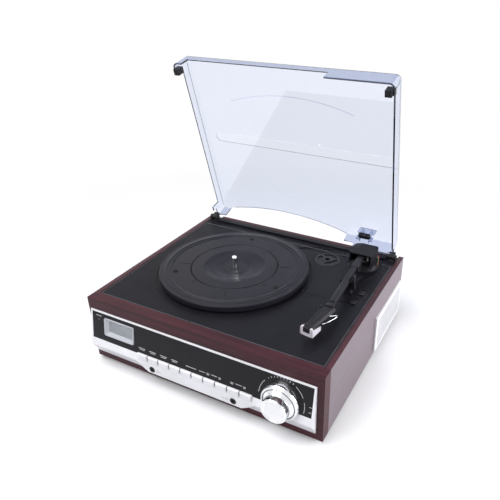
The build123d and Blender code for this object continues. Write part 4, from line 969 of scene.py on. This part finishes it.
def rest_horn():
    """The upright that keeps the arm in its rest on the side away from the platter."""
    low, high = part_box("arm_rest")
    horn = block("rest_horn", Vector((high.x - 4.2 * MM, low.y + 2.0 * MM, high.z - 14.0 * MM)),
                 Vector((high.x - 0.2 * MM, low.y + 9.0 * MM, high.z + 6.0 * MM)))
    resize_faces(horn, lambda face: face.normal.z > 0.9, (0.6, 0.75, 1.0))
    return round_edges(horn, lambda edge: True, 0.5, 2)


def arm_collar():
    """The flared end of the arm where the headshell turns off."""
    middle = arm_height - arm_drop
    collar = tapered("arm_collar", (-4.4, -144.0, middle - 3.6), (4.4, -132.0, middle + 3.5),
                     1.22, 1.6)
    return moved(collar, arm_matrix())


def shaped_headshell():
    """The headshell: a chamfered hood over the cartridge, with a small fin at its left rear."""
    nose_y = -45.6
    crown_z = 2.6

    def crown(edge):
        length = abs(edge.verts[0].co.y - edge.verts[1].co.y)
        return min(v.co.z for v in edge.verts) > 2.5 * MM and length > 30 * MM

    def nose(edge):
        front = max(v.co.y for v in edge.verts)
        return front < -45 * MM and min(v.co.z for v in edge.verts) > 0

    hood = block("headshell_hood", Vector((-8.6, nose_y, -4.2)) * MM,
                 Vector((8.8, 0.5, crown_z)) * MM)
    resize_faces(hood, lambda face: face.normal.y < -0.9, (0.80, 1.0, 0.5),
                 (0.0, nose_y * MM, crown_z * MM))
    round_edges(hood, crown, 2.4, 1)
    round_edges(hood, nose, 1.8, 2)
    fin = block("headshell_fin", Vector((-11.0, -5.6, -1.6)) * MM, Vector((-8.0, -0.6, 2.2)) * MM)
    resize_faces(fin, lambda face: face.normal.x < -0.9, (1.0, 0.45, 0.5))
    rib = block("headshell_rib", Vector((-0.5, -36.0, 2.4)) * MM, Vector((0.5, -6.0, 2.9)) * MM)
    return moved(joined("headshell_hood", [hood, fin, rib]), head_matrix())


def guard_cheeks():
    """The stylus guard's two long side walls."""
    back = -32.0
    foot = -9.0
    cheeks = []
    for side in (-1, 1):
        low, high = sorted((side * 7.6, side * 8.3))
        cheek = block("guard_cheek", Vector((low, -49.3, foot)) * MM,
                      Vector((high, back, 0.6)) * MM)
        resize_faces(cheek, lambda face: face.normal.y > 0.9, (1.0, 1.0, 0.6),
                     (0.0, back * MM, foot * MM))
        cheeks.append(cheek)
    return moved(joined("guard_cheeks", cheeks), head_matrix())


def guard_opening():
    """The dark mouth of the stylus guard, open at its top and front."""
    mouth = block("guard_mouth", Vector((-4.4, -49.8, -4.6)) * MM, Vector((4.4, -46.3, 1.9)) * MM)
    round_edges(mouth, lambda edge: max(v.co.y for v in edge.verts) < -49 * MM, 0.3, 2)
    return moved(mouth, head_matrix())


def arm_leads():
    """Two thin leads that leave the arm's cover at its right rear corner and go into the deck."""
    low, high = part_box("tonearm_cover")
    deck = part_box("top_deck")[1].z - 3.0 * MM
    out = 0.9
    leads = []
    for name, back in (("arm_lead_red", 9.4), ("arm_lead_green", 12.2)):
        y = high.y - back * MM
        line = [(high.x - 1.5 * MM, y, low.z + 9.0 * MM), (high.x + out * MM, y, low.z + 9.4 * MM),
                (high.x + (out + 0.9) * MM, y - 0.6 * MM, low.z + 5.0 * MM),
                (high.x + (out + 0.2) * MM, y - 1.2 * MM, low.z - 1.0 * MM),
                (high.x + (out - 0.4) * MM, y - 0.8 * MM, low.z - 5.0 * MM),
                (high.x + (out + 0.4) * MM, y, deck - 0.5 * MM)]
        leads.append(wire(name, line, 0.5))
    return leads


# Deck and lid pieces


def deck_rim():
    """The thin raised rim round the deck just inside the boards, lighter grey as a painted
    highlight.
    """
    low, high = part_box("top_deck")
    top = corner.z + deck_top * MM
    inset = 1.0 * MM
    width = 0.9 * MM
    rise = 0.35 * MM
    rim = block("deck_rim", Vector((low.x + inset, low.y + inset, top - 0.05 * MM)),
                Vector((high.x - inset, high.y - 22.0 * MM, top + rise)))
    pick(rim, "FACE", lambda face: abs(face.normal.z) > 0.9)
    bpy.ops.mesh.inset(thickness=width)
    bpy.ops.mesh.delete(type="FACE")
    pick(rim, "EDGE", lambda edge: edge.is_boundary)
    bpy.ops.mesh.bridge_edge_loops()
    put_down()
    return rim


def deck_marks():
    """Small plain marks beside the two slide switches."""
    top = corner.z + deck_top * MM + 0.03 * MM
    pieces = []
    for name in ("speed_switch", "stop_switch"):
        low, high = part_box(name)
        for step in range(2 if name == "stop_switch" else 3):
            spot = Vector((high.x + 2.6 * MM, low.y + (1.5 + step * 5.4) * MM, top))
            mark = bar("deck_mark", 2.0, 0.45)
            pieces.append(moved(mark, Matrix.Translation(spot)))
    return joined("deck_marks", pieces)


def lid_arc():
    """The wide shallow ridge moulded across the lid's top."""
    half = 183.0
    rise = 16.0
    radius = (half * half / 4 + rise * rise) / (2 * rise)
    spread = math.degrees(math.asin(half / 2 / radius))
    ridge = sector("lid_arc_ridge", radius, 1.2, 90.0 - spread, 90.0 + spread, 0.3)
    middle_x = 166.0
    middle_a = 216.0
    flat = Matrix.Translation((0, -radius * MM, 0))
    centre = on_lid(middle_x, middle_a, lid_outside + 0.27)
    across = Vector((1, 0, 0))
    turn = Matrix((-across, lid_direction(1, 0), lid_direction(0, 1))).transposed().to_4x4()
    return moved(ridge, Matrix.Translation(centre) @ turn @ flat)


def lid_web():
    """The clear web on both sides of the lid's rear stop, with its two stiffening ribs."""
    foot = 4.6
    plates = [(x0, x1, 15.3, 16.7, 13.2) for x0, x1 in ((260.5, 265.5), (279.8, 284.6))]
    ribs = [(x0, x1, 12.0, 15.0, 25.5) for x0, x1 in ((265.6, 266.4), (279.2, 280.0))]
    parts = [block("web", Vector((x0, -a1, foot)) * MM, Vector((x1, -a0, top)) * MM)
             for x0, x1, a0, a1, top in plates + ribs]
    web = joined("lid_web", parts)
    place = Matrix.Translation(Vector((corner.x, lid_hinge.y, lid_hinge.z)))
    return moved(web, place @ Matrix.Rotation(-lid_open, 4, "X"))


def lid_corner_shade_lines():
    """Thin dark wires down each inner corner of the lid: painted shade for the line each corner
    shows.
    """
    lines = []
    for x in (16.4, 313.6):
        points = [on_lid(x, a, lid_inside) for a in (6.0, 60.0, 130.0, 200.0, 254.0)]
        lines.append(wire("corner_shade_line", points, 0.3))
    return joined("lid_corner_shade_lines", lines)


def lid_back_shade_line():
    """A dark wire of painted shade along the lid's scalloped back edge, followed from the lid
    itself.
    """
    shell = frame["nodes"]["lid"]
    turn_back = Matrix.Rotation(lid_open, 3, "X")
    edge = {}
    for vertex in shell.data.vertices:
        point = shell.matrix_world @ vertex.co
        x = (point.x - corner.x) / MM
        closed = turn_back @ (point - Vector((point.x, lid_hinge.y, lid_hinge.z))) / MM
        a, b = -closed.y, closed.z
        if b > 27.5 and a < 60.0 and 40.0 < x < 255.0:
            edge[round(x)] = min(a, edge.get(round(x), a))
    points = [on_lid(x, edge[x] + 0.4, lid_inside) for x in sorted(edge)]
    return wire("lid_back_shade_line", points, 0.45)


def cloth_panels():
    """The black cloth stretched behind each side grille."""
    panels = []
    low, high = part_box("side_grilles")
    for name, x0, x1 in (("grille_cloth_left", low.x + 3.5 * MM, low.x + 4.1 * MM),
                         ("grille_cloth_right", high.x - 4.1 * MM, high.x - 3.5 * MM)):
        centre = Vector(((x0 + x1) / 2, (low.y + high.y) / 2 - 4 * MM, (low.z + high.z) / 2))
        panels.append(disc(name, centre, 22.0, 0.5, 48, (0, math.radians(90), 0)))
    return panels


def make_pieces():
    """Makes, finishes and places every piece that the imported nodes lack."""
    dress(panel_captions(), finishes["print_white"], "cabinet")
    dress(dial_scale(), finishes["print_white"], "cabinet")
    # Painted shade: a black ring where the gap between the knob's rings falls dark
    dress(ring_gap_shadow(), finishes["switch_black"], "cabinet")
    dress(side_ticks(), finishes["print_white"], "cabinet")
    dress(jack_marks(), finishes["print_grey"], "cabinet")
    loop = dress(lift_loop(), finishes["bright_chrome"], "tonearm")
    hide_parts("finger_lift")
    dress(arm_sleeve(), finishes["arm_black"], "tonearm")
    dress(arm_collar(), finishes["arm_black"], "tonearm")
    hood = dress(shaped_headshell(), finishes["arm_black"], "tonearm")
    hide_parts("headshell")
    dress(guard_opening(), finishes["switch_black"], "stylus_guard")
    # Painted shade: black plates in the gaps between the keys
    dress(key_gaps(), finishes["switch_black"], "cabinet")
    dress(arm_beam(), finishes["arm_black"], "tonearm")
    dress(rest_horn(), finishes["arm_black"], "cabinet")
    dress(guard_cheeks(), finishes["guard_white"], "stylus_guard")
    dress(lid_web(), finishes["edge_blue"], "lid")
    dress(lid_back_shade_line(), finishes["edge_shade_line"], "lid")
    dress(lid_corner_shade_lines(), finishes["edge_shade_line"], "lid")
    red, green = arm_leads()
    dress(red, finishes["lead_red"], "cabinet")
    dress(green, finishes["lead_green"], "cabinet")
    dress(deck_rim(), finishes["rim_painted_highlight"], "cabinet")
    dress(deck_marks(), finishes["print_grey"], "cabinet")
    dress(lid_arc(), finishes["clear_lid"], "lid")
    for panel in cloth_panels():
        dress(panel, finishes["cone_paper"], "cabinet")


# Studio


def studio_floor():
    """A pale floor that keeps the object's shadow near it and runs out to plain white."""
    put_down()
    bpy.ops.mesh.primitive_plane_add(size=60.0, location=(0, 0, -0.0002))
    floor = bpy.context.object
    floor.name = "studio_floor"
    material = bpy.data.materials.new("pale_floor")
    material.use_nodes = True
    tree = material.node_tree
    shader = tree.nodes["Principled BSDF"]
    shader.inputs["Base Color"].default_value = (0.83, 0.83, 0.85, 1.0)
    shader.inputs["Roughness"].default_value = 0.9
    shader.inputs["Specular IOR Level"].default_value = 0.0
    place = tree.nodes.new("ShaderNodeTexCoord").outputs["Object"]
    far = levels(tree, vector_math(tree, "LENGTH", place), 0.28, 0.75)
    dim = tree.nodes.new("ShaderNodeBsdfDiffuse")
    dim.inputs["Color"].default_value = (0.42, 0.42, 0.44, 1.0)
    lift = tree.nodes.new("ShaderNodeEmission")
    lift.inputs["Strength"].default_value = 0.09
    near = tree.nodes.new("ShaderNodeAddShader")
    white = tree.nodes.new("ShaderNodeEmission")
    tree.links.new(shader.outputs["BSDF"], near.inputs[0])
    tree.links.new(lift.outputs["Emission"], near.inputs[1])
    by_distance = mixed(tree, far, near.outputs["Shader"], white.outputs["Emission"])
    by_ray = mixed(tree, seen_rays(tree), dim.outputs["BSDF"], by_distance)
    tree.links.new(by_ray, tree.nodes["Material Output"].inputs["Surface"])
    floor.data.materials.append(material)


def studio_sky():
    """A dim even sky for light, and plain white where it is seen."""
    world = bpy.data.worlds.new("studio_sky")
    bpy.context.scene.world = world
    world.use_nodes = True
    tree = world.node_tree
    sky = tree.nodes["Background"]
    sky.inputs["Color"].default_value = (0.96, 0.975, 1.0, 1.0)
    sky.inputs["Strength"].default_value = 0.26
    white = tree.nodes.new("ShaderNodeBackground")
    white.inputs["Color"].default_value = (1.0, 1.0, 1.0, 1.0)
    white.inputs["Strength"].default_value = 1.0
    by_ray = mixed(tree, seen_rays(tree), sky.outputs["Background"], white.outputs["Background"])
    tree.links.new(by_ray, tree.nodes["World Output"].inputs["Surface"])


# Name, place, aim, width and height in metres, and power in watts
softboxes = (
    ("overhead", (-0.35, -0.35, 1.25), (0.0, 0.0, 0.05), 1.2, 1.0, 16.0),
    ("right_side", (1.35, 0.25, 0.50), (0.1, 0.0, 0.05), 1.2, 0.8, 26.0),
    ("front_fill", (-0.5, -1.4, 0.7), (0.0, -0.1, 0.05), 1.0, 0.7, 8.5),
)


def softbox(name, place, aim, width, height, power):
    """A soft rectangular lamp, turned to what it aims at."""
    lamp = bpy.data.lights.new(name, "AREA")
    lamp.shape = "RECTANGLE"
    lamp.size = width
    lamp.size_y = height
    lamp.energy = power
    stand = bpy.data.objects.new(name, lamp)
    stand.location = place
    stand.rotation_euler = (Vector(aim) - Vector(place)).to_track_quat("-Z", "Y").to_euler()
    bpy.context.scene.collection.objects.link(stand)


def studio_camera():
    """The photograph's viewpoint."""
    azimuth = math.radians(27.07)
    elevation = math.radians(28.71)
    back = Vector((math.sin(azimuth) * math.cos(elevation),
                   -math.cos(azimuth) * math.cos(elevation), math.sin(elevation)))
    data = bpy.data.cameras.new("camera")
    data.lens = 37.85
    data.sensor_width = 36.0
    data.shift_x = -0.074
    data.shift_y = 0.0028
    camera = bpy.data.objects.new("camera", data)
    camera.location = (0.31603, -0.51699, 0.46979)
    camera.rotation_mode = "QUATERNION"
    camera.rotation_quaternion = (-back).to_track_quat("-Z", "Y")
    bpy.context.scene.collection.objects.link(camera)
    bpy.context.scene.camera = camera


finish_nodes()
make_pieces()
studio_floor()
studio_sky()
for row in softboxes:
    softbox(*row)
studio_camera()
bpy.context.scene.view_settings.view_transform = "Standard"
